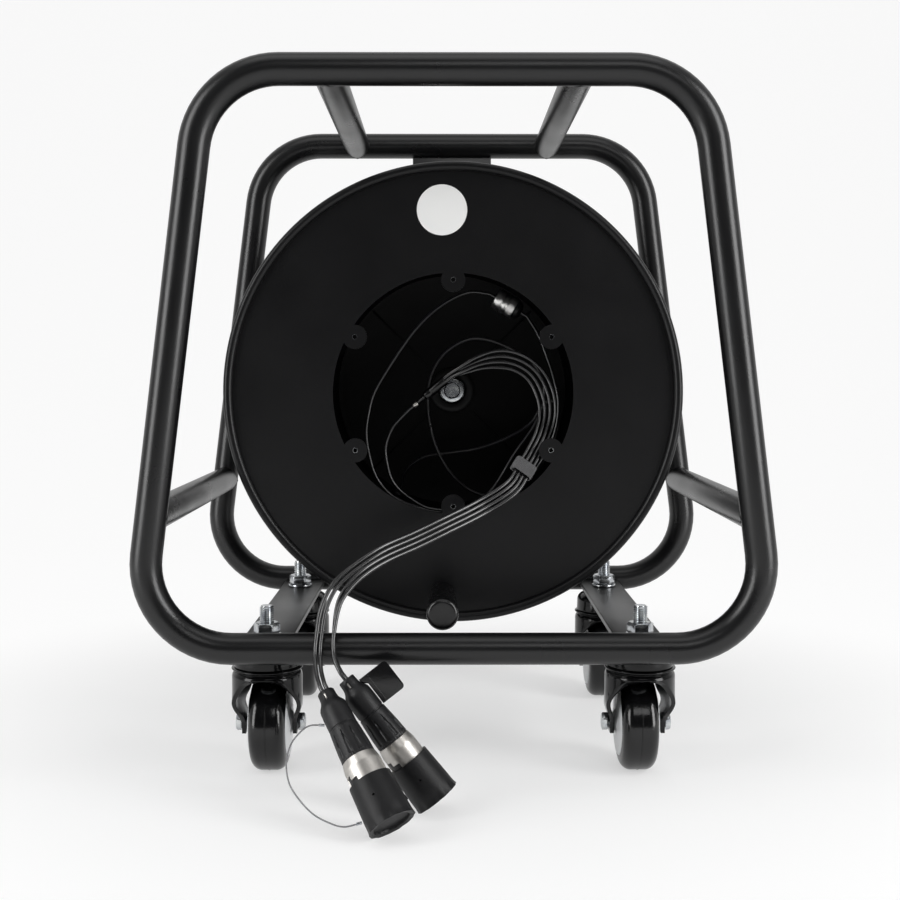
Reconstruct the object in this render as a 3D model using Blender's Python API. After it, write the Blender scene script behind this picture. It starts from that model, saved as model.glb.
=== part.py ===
"""A drum of fibre-optic cable that turns on a wheeled frame of bent steel tube.

Two rings of tube stand one behind the other.  A sheet-steel drum is carried by an axle on the
rear ring's upright plate, so its front stays open, and the cable's ends lie in that opening.
Metres, X to the right, Y to the rear, Z up from the floor.
"""
import math

import bmesh
import bpy
from mathutils import Matrix, Vector

GAP = 0.0003                 # between pieces that touch

# Frame of bent tube
TUBE_D = 0.025
RING_Y = 0.170               # ring planes, in front of and behind the origin
BOTTOM_Z = 0.117             # axes of the rings' bottom and top runs
TOP_Z = 0.564
BOTTOM_HALF = 0.2497         # half widths where the sides' axes meet those runs
TOP_HALF = 0.1915
BEND_R = 0.066
TOP_CROSS_X = 0.097
SIDE_CROSS_Z = 0.221
BAR_X = 0.1525
BAR_W = 0.040
BAR_T = 0.005
BAR_TOP_Z = 0.1165
PLATE_W = 0.080
PLATE_T = 0.005
PLATE_Y = 0.167

# Casters
SWIVEL_X = 0.1535
SWIVEL_Y = 0.121
TRAIL = 0.020
WHEEL_R = 0.040
WHEEL_W = 0.030
STUD_R = 0.006
BAR_HOLE_R = 0.0065
PIN_R = 0.004
PIN_HOLE_R = 0.0043

# Drum, in its own frame: X right, Y up, Z towards the viewer, origin on the axle's axis
AXLE_Z = 0.3145
FLANGE_R = 0.1985
SHEET_T = 0.0015
BEAD_R = 0.004
FRONT_Z = 0.055              # front face of the front flange
REAR_Z = -0.134              # front face of the rear flange
OPENING_R = 0.104
TAB_CIRCLE_R = 0.098
TAB_R = 0.0105
TAB_HOLE_R = 0.00225
TAB_COUNT = 6
BARREL_R = 0.116
CORE_R = 0.1396
HUB_R = 0.022
AXLE_R = 0.010
THREAD_R = 0.008
KNOB_CIRCLE_R = 0.174
KNOB_ANGLE = math.radians(-93)
KNOB_END_Z = 0.155

# Wound cable
CABLE_D = 0.0090
PITCH = 0.0095
WOUND_R = 0.146
LOOPS = 15
LOOP_POINTS = 24
WOUND_START = math.radians(20)
SLEEVE_R = 0.011
SLEEVE_L = 0.084

# Cable end in the drum's opening
INNER_D = 0.0029
LEG_D = 0.0030
TETHER_D = 0.0012
GROMMET_ANGLE = math.radians(-118)
GROMMET_Z = -0.072
SPLITTER_R = 0.0043
SPLITTER_L = 0.0235
CONNECTOR_L = 0.113
CAP_RIM_R = 0.0186

# Finishes: base colour, roughness, metallic
BLACK_POWDER = ((0.016, 0.016, 0.018), 0.42, 0.0)
BLACK_GLOSS = ((0.010, 0.010, 0.011), 0.18, 0.0)
ZINC = ((0.62, 0.64, 0.66), 0.32, 1.0)
NICKEL = ((0.72, 0.69, 0.65), 0.22, 1.0)
BRONZE = ((0.42, 0.27, 0.12), 0.40, 1.0)
BLACK_RUBBER = ((0.012, 0.012, 0.014), 0.60, 0.0)
BLACK_PLASTIC = ((0.014, 0.014, 0.016), 0.38, 0.0)
CABLE_JACKET = ((0.011, 0.011, 0.012), 0.45, 0.0)
LEG_JACKET = ((0.055, 0.055, 0.058), 0.35, 0.0)
GREY_STRAP = ((0.11, 0.11, 0.11), 0.85, 0.0)
STEEL_WIRE = ((0.35, 0.35, 0.36), 0.35, 1.0)

# Hand-laid routes.  The legs' bundle carries for each station half the distance between its
# two pairs, half that within a pair, and the pair's turn out of the side-by-side row.
LEG_BUNDLE = [
    ((-0.0022, -0.0085, 0.3300), 0.00175, 0.0018, 90),
    ((0.0090, -0.0120, 0.3350), 0.0024, 0.0019, 60),
    ((0.0240, -0.0150, 0.3415), 0.0036, 0.0022, 30),
    ((0.0410, -0.0180, 0.3445), 0.0050, 0.0025, 0),
    ((0.0575, -0.0205, 0.3415), 0.0050, 0.0025, 0),
    ((0.0720, -0.0235, 0.3315), 0.0050, 0.0025, 0),
    ((0.0810, -0.0270, 0.3150), 0.0050, 0.0025, 0),
    ((0.0835, -0.0320, 0.2970), 0.0046, 0.0023, 0),
    ((0.0790, -0.0390, 0.2795), 0.0042, 0.0021, 0),
    ((0.0715, -0.0485, 0.2655), 0.0040, 0.0020, 0),
    ((0.0610, -0.0620, 0.2500), 0.0040, 0.0020, 0),
    ((0.0505, -0.0740, 0.2355), 0.0040, 0.0020, 0),
    ((0.0240, -0.0860, 0.2195), 0.0040, 0.0020, 0),
    ((-0.0040, -0.1050, 0.2075), 0.0040, 0.0020, 0),
    ((-0.0310, -0.1270, 0.1970), 0.0040, 0.0020, 0),
    ((-0.0565, -0.1470, 0.1880), 0.0040, 0.0020, 0),
]
TIE_STATION = 10
LEFT_TAIL = [
    ((-0.0800, -0.1600, 0.1785), 0.0, 0.0020, 0),
    ((-0.0930, -0.1660, 0.1670), 0.0, 0.0020, 0),
    ((-0.1015, -0.1730, 0.1500), 0.0, 0.0020, 0),
    ((-0.1048, -0.1812, 0.1282), 0.0, 0.0020, 0),
    ((-0.1053, -0.1868, 0.1165), 0.0, 0.0020, 0),
    ((-0.1035, -0.1975, 0.1055), 0.0, 0.0020, 0),
]
RIGHT_TAIL = [
    ((-0.0715, -0.1600, 0.1755), 0.0, 0.0020, 0),
    ((-0.0825, -0.1670, 0.1655), 0.0, 0.0020, 30),
    ((-0.0900, -0.1730, 0.1525), 0.0, 0.0020, 60),
    ((-0.0932, -0.1827, 0.1292), 0.0, 0.0020, 90),
    ((-0.0926, -0.1887, 0.1170), 0.0, 0.0020, 90),
    ((-0.0903, -0.1940, 0.1110), 0.0, 0.0020, 90),
]
INNER_ROUTE_A = [
    (-0.0480, -0.0025, 0.2905), (-0.0550, -0.0010, 0.2820), (-0.0610, 0.0000, 0.2660),
    (-0.0600, 0.0000, 0.2500), (-0.0540, 0.0000, 0.2320), (-0.0390, 0.0000, 0.2180),
    (-0.0200, 0.0000, 0.2085), (0.0160, 0.0000, 0.2080), (0.0480, 0.0000, 0.2180),
    (0.0750, 0.0020, 0.2430), (0.0920, 0.0060, 0.2740), (0.0970, 0.0120, 0.3030),
    (0.0930, 0.0180, 0.3280), (0.0860, 0.0230, 0.3500), (0.0790, 0.0280, 0.3680),
]
INNER_ROUTE_B = [
    (0.0170, 0.0320, 0.4070), (0.0000, 0.0320, 0.4010), (-0.0180, 0.0300, 0.3890),
    (-0.0330, 0.0280, 0.3740), (-0.0460, 0.0260, 0.3570), (-0.0610, 0.0240, 0.3340),
    (-0.0730, 0.0220, 0.3130), (-0.0780, 0.0200, 0.2940), (-0.0800, 0.0180, 0.2750),
    (-0.0770, 0.0160, 0.2560), (-0.0710, 0.0140, 0.2370), (-0.0580, 0.0120, 0.2210),
    (-0.0380, 0.0100, 0.2105), (-0.0100, 0.0090, 0.2045), (0.0160, 0.0120, 0.2100),
    (0.0360, 0.0180, 0.2240), (0.0580, 0.0240, 0.2580), (0.0770, 0.0300, 0.2850),
    (0.0860, 0.0360, 0.3110), (0.0790, 0.0410, 0.3370), (0.0580, 0.0440, 0.3530),
    (0.0340, 0.0450, 0.3630), (0.0140, 0.0450, 0.3635), (-0.0070, 0.0450, 0.3510),
    (-0.0200, 0.0430, 0.3310), (-0.0235, 0.0415, 0.3080), (-0.0220, 0.0400, 0.2870),
    (-0.0160, 0.0385, 0.2640), (-0.0040, 0.0370, 0.2410), (0.0130, 0.0370, 0.2240),
    (0.0320, 0.0380, 0.2165), (0.0540, 0.0405, 0.2180), (0.0760, 0.0450, 0.2350),
    (0.0930, 0.0490, 0.2600), (0.1010, 0.0540, 0.2860), (0.0970, 0.0580, 0.3050),
    (0.0870, 0.0620, 0.3020), (0.0760, 0.0640, 0.2850), (0.0590, 0.0645, 0.2730),
    (0.0270, 0.0660, 0.2600), (-0.0030, 0.0670, 0.2550), (-0.0260, 0.0680, 0.2515),
    (-0.0400, 0.0690, 0.2430), (-0.0475, 0.0705, 0.2330),
]
LEFT_TETHER_ROUTE = [
    (-0.1079, -0.2230, 0.0708), (-0.1154, -0.2230, 0.0655), (-0.1218, -0.2260, 0.0573),
    (-0.1244, -0.2300, 0.0472), (-0.1238, -0.2350, 0.0393), (-0.1206, -0.2410, 0.0312),
    (-0.1132, -0.2480, 0.0231), (-0.1028, -0.2550, 0.0152), (-0.0914, -0.2610, 0.0111),
    (-0.0796, -0.2650, 0.0092),
]
RIGHT_TETHER_ROUTE = [
    (-0.0860, -0.2045, 0.0835), (-0.0790, -0.2060, 0.0715), (-0.0710, -0.2070, 0.0590),
    (-0.0640, -0.2075, 0.0480),
]


def clear_scene():
    for obj in list(bpy.data.objects):
        bpy.data.objects.remove(obj, do_unlink=True)


def add(name, data, finish, parent=None):
    """Put a mesh or curve into the scene as one piece with a material of its own."""
    colour, roughness, metallic = finish
    obj = bpy.data.objects.new(name, data)
    bpy.context.scene.collection.objects.link(obj)
    obj.parent = parent
    material = bpy.data.materials.new(name)
    material.use_nodes = True
    shader = material.node_tree.nodes["Principled BSDF"]
    shader.inputs["Base Color"].default_value = (*colour, 1.0)
    shader.inputs["Roughness"].default_value = roughness
    shader.inputs["Metallic"].default_value = metallic
    data.materials.clear()
    data.materials.append(material)
    return obj


def joint_frame(name, location, rotation=(0.0, 0.0, 0.0), parent=None):
    empty = bpy.data.objects.new(name, None)
    bpy.context.scene.collection.objects.link(empty)
    empty.location = location
    empty.rotation_euler = rotation
    empty.parent = parent
    return empty


def finished_mesh(bm, smooth=True):
    bmesh.ops.recalc_face_normals(bm, faces=bm.faces)
    mesh = bpy.data.meshes.new("solid")
    bm.to_mesh(mesh)
    bm.free()
    if smooth:
        mesh.shade_smooth()
        mesh.set_sharp_from_angle(angle=math.radians(35))
    return mesh


def turned(profile, steps):
    """Spin a (radius, height) outline about Z.  One that starts off the axis has a bore."""
    bm = bmesh.new()
    verts = [bm.verts.new((radius, 0.0, height)) for radius, height in profile]
    edges = [bm.edges.new(pair) for pair in zip(verts, verts[1:])]
    if profile[0][0] > 0.0:
        edges.append(bm.edges.new((verts[-1], verts[0])))
    bmesh.ops.spin(bm, geom=verts + edges, axis=(0, 0, 1), angle=math.tau, steps=steps, use_merge=True)
    bmesh.ops.remove_doubles(bm, verts=bm.verts, dist=1e-6)
    return finished_mesh(bm)


def cylinder(radius, low, high, steps):
    return turned([(0.0, low), (radius, low), (radius, high), (0.0, high)], steps)


def prism(outline, low, high):
    """Extrude an outline of the XY plane along Z."""
    bm = bmesh.new()
    face = bm.faces.new([bm.verts.new((x, y, low)) for x, y in outline])
    grown = bmesh.ops.extrude_face_region(bm, geom=[face])
    top = [item for item in grown["geom"] if isinstance(item, bmesh.types.BMVert)]
    bmesh.ops.translate(bm, verts=top, vec=(0.0, 0.0, high - low))
    return finished_mesh(bm)


def moved(mesh, matrix):
    mesh.transform(matrix)
    return mesh


def turned_about_x(mesh):
    return moved(mesh, Matrix.Rotation(math.pi / 2, 4, "Y"))


def upright(mesh):
    """Stand an XY outline in the XZ plane; its extrusion then runs along -Y."""
    return moved(mesh, Matrix.Rotation(math.pi / 2, 4, "X"))


def boolean(base, tool, operation):
    """The exact Boolean of two meshes, as a new mesh."""
    objects = [bpy.data.objects.new(mesh.name, mesh) for mesh in (base, tool)]
    for obj in objects:
        bpy.context.scene.collection.objects.link(obj)
    modifier = objects[0].modifiers.new("cut", "BOOLEAN")
    modifier.operation = operation
    modifier.solver = "EXACT"
    modifier.object = objects[1]
    depsgraph = bpy.context.evaluated_depsgraph_get()
    result = bpy.data.meshes.new_from_object(objects[0].evaluated_get(depsgraph))
    for obj in objects:
        bpy.data.objects.remove(obj, do_unlink=True)
    return result


def rounded(corners, radii, steps):
    """Replace each corner of a closed outline by an arc of its own radius."""
    points = []
    count = len(corners)
    for index, radius in enumerate(radii):
        corner = Vector(corners[index])
        to_last = (Vector(corners[index - 1]) - corner).normalized()
        to_next = (Vector(corners[(index + 1) % count]) - corner).normalized()
        if radius == 0.0:
            points.append(corner)
            continue
        half_angle = to_last.angle(to_next) / 2
        centre = corner + (to_last + to_next).normalized() * radius / math.sin(half_angle)
        start = corner + to_last * radius / math.tan(half_angle) - centre
        sweep = math.pi - 2 * half_angle
        side = 1.0 if to_last.x * to_next.y - to_last.y * to_next.x < 0.0 else -1.0
        for step in range(steps + 1):
            angle = side * sweep * step / steps
            turn = Matrix.Rotation(angle, 2)
            points.append(centre + turn @ start)
    return [(point.x, point.y) for point in points]


def polar(radius, angle, height=0.0):
    return Vector((radius * math.cos(angle), radius * math.sin(angle), height))


def aimed(position, direction, side=Vector((0.0, 0.0, 1.0))):
    """A frame at a position whose Z runs along a direction and whose X leans towards a side."""
    z_axis = direction.normalized()
    x_axis = (side - z_axis * side.dot(z_axis)).normalized()
    y_axis = z_axis.cross(x_axis)
    columns = Matrix((x_axis, y_axis, z_axis)).transposed().to_4x4()
    return Matrix.Translation(position) @ columns


def smooth_path(points, count):
    """Points at even distances along a smooth curve through the given points."""
    points = [Vector(point) for point in points]
    fine = [points[0]]
    for index in range(len(points) - 1):
        start, end = points[index], points[index + 1]
        chord = (end - start).length
        leaving = (end - points[max(index - 1, 0)]).normalized() * chord / 3
        arriving = (points[min(index + 2, len(points) - 1)] - start).normalized() * chord / 3
        for step in range(1, 25):
            t = step / 24
            weights = ((1 - t) ** 3, 3 * t * (1 - t) ** 2, 3 * t * t * (1 - t), t ** 3)
            handles = (start, start + leaving, end - arriving, end)
            fine.append(sum((w * handle for w, handle in zip(weights, handles)), Vector()))
    lengths = [0.0]
    for start, end in zip(fine, fine[1:]):
        lengths.append(lengths[-1] + (end - start).length)
    path = []
    segment = 0
    for index in range(count):
        target = lengths[-1] * index / (count - 1)
        while segment < len(lengths) - 2 and lengths[segment + 1] < target:
            segment += 1
        share = (target - lengths[segment]) / (lengths[segment + 1] - lengths[segment])
        path.append(fine[segment].lerp(fine[segment + 1], share))
    return path


def tube_curve(name, points, diameter, resolution, cyclic=False):
    curve = bpy.data.curves.new(name, "CURVE")
    curve.dimensions = "3D"
    curve.bevel_depth = diameter / 2
    curve.bevel_resolution = resolution
    curve.use_fill_caps = True
    spline = curve.splines.new("POLY")
    spline.points.add(len(points) - 1)
    for spline_point, point in zip(spline.points, points):
        spline_point.co = (*point, 1.0)
    spline.use_cyclic_u = cyclic
    return curve


def least_gap(points, diameter, apart):
    """Least gap of a tube to its own other turns, from each point to each segment apart from it."""
    least = math.inf
    for index, point in enumerate(points):
        for start, end in zip(points[index + apart:], points[index + apart + 1:]):
            run = end - start
            share = max(0.0, min(1.0, (point - start).dot(run) / run.dot(run)))
            least = min(least, (start + run * share - point).length)
    return least - diameter


# Frame

def ring_outline():
    corners = [(-BOTTOM_HALF, BOTTOM_Z), (BOTTOM_HALF, BOTTOM_Z), (TOP_HALF, TOP_Z), (-TOP_HALF, TOP_Z)]
    return rounded(corners, [BEND_R] * 4, 6)


def add_ring(name, y):
    points = [(x, y, z) for x, z in ring_outline()]
    add(name, tube_curve(name, points, TUBE_D, 3, cyclic=True), BLACK_POWDER)


def coped_tube(x, z, ring_direction):
    """A cross tube along Y whose ends are cut to fit round the rings' tubes."""
    tube = upright(moved(cylinder(TUBE_D / 2, -RING_Y, RING_Y, 12), Matrix.Rotation(math.pi / 12, 4, "Z")))
    tube = moved(tube, Matrix.Translation((x, 0.0, z)))
    for y in (-RING_Y, RING_Y):
        saddle = cylinder(TUBE_D / 2 + GAP, -0.04, 0.04, 24)
        saddle = moved(saddle, aimed(Vector((x, y, z)), ring_direction, Vector((0.0, 1.0, 0.0))))
        tube = boolean(tube, saddle, "DIFFERENCE")
    return tube


def side_x(z):
    """X of a ring side's axis at a height."""
    return BOTTOM_HALF - (z - BOTTOM_Z) * (BOTTOM_HALF - TOP_HALF) / (TOP_Z - BOTTOM_Z)


def caster_bar(sign):
    """Flat bar between the rings' bottom runs, drilled for two casters' studs."""
    half_length = RING_Y - TUBE_D / 2 - GAP
    edges = [sign * BAR_X - BAR_W / 2, sign * BAR_X + BAR_W / 2]
    outline = [(edges[0], -half_length), (edges[1], -half_length), (edges[1], half_length), (edges[0], half_length)]
    bar = prism(outline, BAR_TOP_Z - BAR_T, BAR_TOP_Z)
    for y in (-SWIVEL_Y, SWIVEL_Y):
        hole = moved(cylinder(BAR_HOLE_R, 0.10, 0.13, 12), Matrix.Translation((sign * SWIVEL_X, y, 0.0)))
        bar = boolean(bar, hole, "DIFFERENCE")
    return bar


def bearing_plate():
    """Upright plate between the rear ring's top and bottom runs, with the axle's boss."""
    low = BOTTOM_Z + TUBE_D / 2 + GAP - AXLE_Z
    high = TOP_Z - TUBE_D / 2 - GAP - AXLE_Z
    half = PLATE_W / 2
    rear, front = -PLATE_Y - PLATE_T / 2, -PLATE_Y + PLATE_T / 2
    plate = prism([(-half, low), (half, low), (half, high), (-half, high)], rear, front)
    plate = boolean(plate, cylinder(HUB_R, front - 0.001, -0.1583, 24), "UNION")
    return boolean(plate, cylinder(AXLE_R + GAP, rear - 0.01, -0.15, 20), "DIFFERENCE")


def hexagon(across_flats):
    return [polar(across_flats / math.sqrt(3), math.radians(30 + 60 * side)).to_2d() for side in range(6)]


def axle_bolt():
    """Bolt through the plate: a thick shank in the hub and a thinner thread for the nut."""
    shank = turned([(0.0, -0.1752), (AXLE_R, -0.1752), (AXLE_R, -0.1279),
                    (THREAD_R, -0.1279), (THREAD_R, -0.1106), (THREAD_R - 0.001, -0.1096), (0.0, -0.1096)], 16)
    head = prism(hexagon(0.030), -0.1820, -PLATE_Y - PLATE_T / 2 - GAP)
    return boolean(shank, head, "UNION")


def hub_nut():
    """Nut that keeps the drum's hub on the axle, with its washer face."""
    nut = prism(hexagon(0.024), -0.1260, -0.1126)
    collar = turned([(0.0, -0.1276), (0.0142, -0.1276), (0.0142, -0.1258), (0.0125, -0.1248), (0.0, -0.1248)], 16)
    nut = boolean(nut, collar, "UNION")
    return boolean(nut, cylinder(THREAD_R + GAP, -0.14, -0.10, 12), "DIFFERENCE")


def build_frame(axle_frame):
    add_ring("front_ring", -RING_Y)
    add_ring("rear_ring", RING_Y)
    for side, sign in (("left", -1), ("right", 1)):
        top = coped_tube(sign * TOP_CROSS_X, TOP_Z, Vector((1.0, 0.0, 0.0)))
        add(f"top_cross_tube_{side}", top, BLACK_POWDER)
        slope = Vector((sign * (side_x(1.0) - side_x(0.0)), 0.0, 1.0))
        low = coped_tube(sign * side_x(SIDE_CROSS_Z), SIDE_CROSS_Z, slope)
        add(f"side_cross_tube_{side}", low, BLACK_POWDER)
        add(f"caster_bar_{side}", caster_bar(sign), BLACK_POWDER)
    add("bearing_plate", bearing_plate(), BLACK_POWDER, axle_frame)
    add("axle_bolt", axle_bolt(), ZINC, axle_frame)
    add("hub_nut", hub_nut(), ZINC, axle_frame)


# Casters, each about its swivel axis with heights from the floor

def caster_stem():
    """Threaded stud with washer and nut, over the fixed cup and the pin that the fork hangs on."""
    stem = turned([
        (0.0, 0.1425), (STUD_R, 0.1415), (STUD_R, 0.1192), (0.0120, 0.1192), (0.0120, 0.1168),
        (STUD_R, 0.1168), (STUD_R, 0.1112), (0.0190, 0.1112), (0.0258, 0.1045), (0.0271, 0.0930),
        (0.0050, 0.0930), (0.0050, 0.0882), (0.0085, 0.0882), (0.0085, 0.0852), (0.0, 0.0852)], 10)
    return boolean(stem, prism(hexagon(0.019), 0.1185, 0.1285), "UNION")


def caster_fork():
    """Pressed fork: a sheet bent to a U, trimmed to its side outline, under a turned raceway."""
    half = [(0.0195, 0.0336), (0.0230, 0.0336), (0.0230, 0.0475), (0.0288, 0.0610), (0.0288, 0.0905)]
    inner = [(-0.0195, 0.0485), (-0.0254, 0.0620), (-0.0254, 0.0822), (0.0254, 0.0822),
             (0.0254, 0.0620), (0.0195, 0.0485)]
    corners = half + [(-x, z) for x, z in reversed(half)] + inner
    radii = [0.0] * 12 + [0.007, 0.007] + [0.0] * 2
    sheet = upright(prism(rounded(corners, radii, 2), -0.034, 0.034))
    side = [(-0.026, 0.100), (-0.026, 0.081), (0.0085, 0.047), (0.0095, 0.030), (0.0305, 0.030),
            (0.0315, 0.047), (0.0290, 0.081), (0.0290, 0.100)]
    trim = moved(upright(prism(side, -0.04, 0.04)), Matrix.Rotation(math.pi / 2, 4, "Z"))
    fork = boolean(sheet, trim, "INTERSECT")
    raceway = turned([(0.0, 0.0818), (0.0292, 0.0818), (0.0292, 0.0915), (0.0280, 0.0927), (0.0, 0.0927)], 14)
    fork = boolean(fork, raceway, "UNION")
    recess = turned([(0.0, 0.080), (0.0200, 0.080), (0.0200, 0.0885), (0.0054, 0.0885),
                     (0.0054, 0.100), (0.0, 0.100)], 8)
    fork = boolean(fork, recess, "DIFFERENCE")
    hole = turned_about_x(cylinder(PIN_HOLE_R, -0.05, 0.05, 8))
    hole = moved(hole, Matrix.Translation((0.0, TRAIL, WHEEL_R)))
    return boolean(fork, hole, "DIFFERENCE")


def caster_bolt():
    """Wheel pin, with a hexagon head on one side and a nut on the other."""
    bolt = cylinder(PIN_R, -0.0292, 0.0292, 8)
    for low, high in ((-0.0293, -0.0233), (0.0233, 0.0293)):
        bolt = boolean(bolt, prism(hexagon(0.013), low, high), "UNION")
    return turned_about_x(bolt)


def caster_wheel():
    """Domed wheel centre with a round-shouldered tread moulded on."""
    half = [(PIN_HOLE_R, 0.0188), (0.0290, 0.0162), (0.0365, WHEEL_W / 2 - 0.0006), (WHEEL_R, 0.0090)]
    profile = half + [(radius, -width) for radius, width in reversed(half)]
    return turned_about_x(turned(profile, 20))


def build_casters():
    meshes = {"stem": caster_stem(), "fork": caster_fork(), "axle_bolt": caster_bolt(), "wheel": caster_wheel()}
    finishes = {"stem": ZINC, "fork": BLACK_GLOSS, "axle_bolt": ZINC, "wheel": BLACK_RUBBER}
    for end, y in (("front", -SWIVEL_Y), ("rear", SWIVEL_Y)):
        for side, x in (("left", -SWIVEL_X), ("right", SWIVEL_X)):
            swivel = joint_frame(f"swivel_{end}_{side}", (x, y, 0.0))
            wheel_axis = joint_frame(f"wheel_axis_{end}_{side}", (0.0, TRAIL, WHEEL_R), parent=swivel)
            parents = {"stem": swivel, "fork": swivel, "axle_bolt": wheel_axis, "wheel": wheel_axis}
            for part, mesh in meshes.items():
                add(f"caster_{part}_{end}_{side}", mesh.copy(), finishes[part], parents[part])


# Drum

def bead_arc(z_centre, z_near, z_far, steps):
    """Section of the rolled rim, from the sheet's outer face round to its inner one."""
    radius_centre = FLANGE_R - BEAD_R
    outward = 1.0 if z_near > z_far else -1.0
    start = math.pi - outward * math.asin((z_near - z_centre) / BEAD_R)
    end = -math.pi - outward * math.asin((z_far - z_centre) / BEAD_R)
    angles = [start + (end - start) * step / steps for step in range(steps + 1)]
    return [(radius_centre + BEAD_R * math.cos(a), z_centre + outward * BEAD_R * math.sin(a)) for a in angles]


def flange(inner_r, outer_face_z, inner_face_z, steps, bead_steps):
    """Flange sheet with its edge rolled into a bead that stands proud of the outer face."""
    proud = 0.0015 if outer_face_z > inner_face_z else -0.0015
    bead = bead_arc(outer_face_z + proud, outer_face_z, inner_face_z, bead_steps)
    return turned([(inner_r, inner_face_z), (inner_r, outer_face_z)] + bead, steps)


def opening_outline():
    """Edge of the front opening: a circle with a round screw tab reaching in every 60 degrees."""
    outline = []
    cosine = (OPENING_R ** 2 + TAB_CIRCLE_R ** 2 - TAB_R ** 2) / (2 * OPENING_R * TAB_CIRCLE_R)
    half_tab = math.acos(cosine)
    corner = polar(OPENING_R, half_tab) - Vector((TAB_CIRCLE_R, 0.0, 0.0))
    tab_sweep = math.atan2(corner.y, corner.x)
    for tab in range(TAB_COUNT):
        middle = math.radians(30) + tab * math.tau / TAB_COUNT
        for step in range(9):
            angle = -tab_sweep - step * (math.tau - 2 * tab_sweep) / 8
            outline.append(polar(TAB_CIRCLE_R, middle) + polar(TAB_R, middle + angle))
        gap_sweep = math.tau / TAB_COUNT - 2 * half_tab
        outline += [polar(OPENING_R, middle + half_tab + gap_sweep * step / 6) for step in range(1, 6)]
    return [(point.x, point.y) for point in outline]


def front_flange():
    sheet = flange(0.080, FRONT_Z, FRONT_Z - SHEET_T, 44, 6)
    sheet = boolean(sheet, prism(opening_outline(), FRONT_Z - 0.01, FRONT_Z + 0.01), "DIFFERENCE")
    holes = [(polar(TAB_CIRCLE_R, math.radians(30) + tab * math.tau / TAB_COUNT), TAB_HOLE_R, 6)
             for tab in range(TAB_COUNT)]
    holes.append((polar(KNOB_CIRCLE_R, KNOB_ANGLE), PIN_HOLE_R, 12))
    for centre, radius, sides in holes:
        drill = moved(cylinder(radius, FRONT_Z - 0.01, FRONT_Z + 0.01, sides), Matrix.Translation(centre))
        sheet = boolean(sheet, drill, "DIFFERENCE")
    return sheet


def barrel():
    """Sheet barrel with the hole that the cable's inner end comes through."""
    low, high = REAR_Z + GAP, FRONT_Z - SHEET_T - GAP
    inner = BARREL_R - SHEET_T
    tube = turned([(inner, low), (inner, high), (BARREL_R, high), (BARREL_R, low)], 36)
    outward = polar(1.0, GROMMET_ANGLE)
    drill = moved(cylinder(0.0050, 0.10, 0.13, 10), aimed(Vector((0.0, 0.0, GROMMET_Z)), outward))
    return boolean(tube, drill, "DIFFERENCE")


def winding_core():
    """The lower layers as one plain body, with the ramp on which the cable climbs to the last one."""
    low, high = REAR_Z + GAP, FRONT_Z - SHEET_T - GAP
    bore = BARREL_R + GAP
    core = turned([(bore, low), (bore, high), (CORE_R, high), (CORE_R, low)], 36)
    first, second = wound_path()[:2]
    along = (second - first).normalized()
    across = Vector((along.y, -along.x, 0.0)).normalized()
    foot = first - along * GAP
    ramp = [foot - across * 0.0080, foot + across * CABLE_D / 2,
            polar(CORE_R + 0.002, WOUND_START - math.radians(9)), polar(CORE_R - 0.001, WOUND_START - math.radians(15))]
    half_width = CABLE_D / 2 - GAP
    outline = [(point.x, point.y) for point in ramp]
    return boolean(core, prism(outline, first.z - half_width, first.z + half_width), "UNION")


def sleeve_frame():
    """Where the cable's outer end enters its protective sleeve, beside the last turn."""
    angle = WOUND_START + math.radians(80)
    entry = polar(CORE_R + SLEEVE_R + 2 * GAP, angle, REAR_Z + 0.0235)
    return aimed(entry, polar(1.0, angle + math.pi / 2))


def wound_path():
    """Centreline of the outer layer: a helix, then a run to the sleeve beside it."""
    start_z = FRONT_Z - SHEET_T - GAP - CABLE_D / 2
    points = []
    for index in range(LOOPS * LOOP_POINTS + 1):
        turns = index / LOOP_POINTS
        points.append(polar(WOUND_R, WOUND_START + math.tau * turns, start_z - PITCH * turns))
    last = points[-1]
    entry = sleeve_frame()
    run_in = entry @ Vector((0.0, 0.0, -0.012))
    run_in_angle = math.atan2(run_in.y, run_in.x)
    for step in range(1, 5):
        share = step / 5
        eased = share * share * (3 - 2 * share)
        radius = WOUND_R + (run_in.to_2d().length - WOUND_R) * eased
        angle = WOUND_START + (run_in_angle - WOUND_START) * share
        points.append(polar(radius, angle, last.z + (run_in.z - last.z) * eased))
    points.append(run_in)
    points.append(entry @ Vector((0.0, 0.0, -GAP)))
    return points


def crank_knob():
    """Tapered hand knob with a blind bore, standing on its pin."""
    base = FRONT_Z + 0.0023
    return turned([
        (PIN_HOLE_R, base), (0.0090, base), (0.0104, base + 0.002), (0.0116, base + 0.045),
        (0.0130, KNOB_END_Z - 0.006), (0.0128, KNOB_END_Z - 0.0015), (0.0112, KNOB_END_Z),
        (0.0, KNOB_END_Z), (0.0, KNOB_END_Z - 0.006), (PIN_HOLE_R, KNOB_END_Z - 0.006)], 14)


def knob_pin():
    return turned([
        (0.0, KNOB_END_Z - 0.0063), (PIN_R, KNOB_END_Z - 0.0063), (PIN_R, FRONT_Z + 0.0020),
        (0.0085, FRONT_Z + 0.0020), (0.0085, FRONT_Z + GAP), (PIN_R, FRONT_Z + GAP),
        (PIN_R, FRONT_Z - SHEET_T - GAP), (0.0070, FRONT_Z - SHEET_T - GAP), (0.0070, FRONT_Z - 0.0065),
        (0.0, FRONT_Z - 0.0065)], 10)


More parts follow.
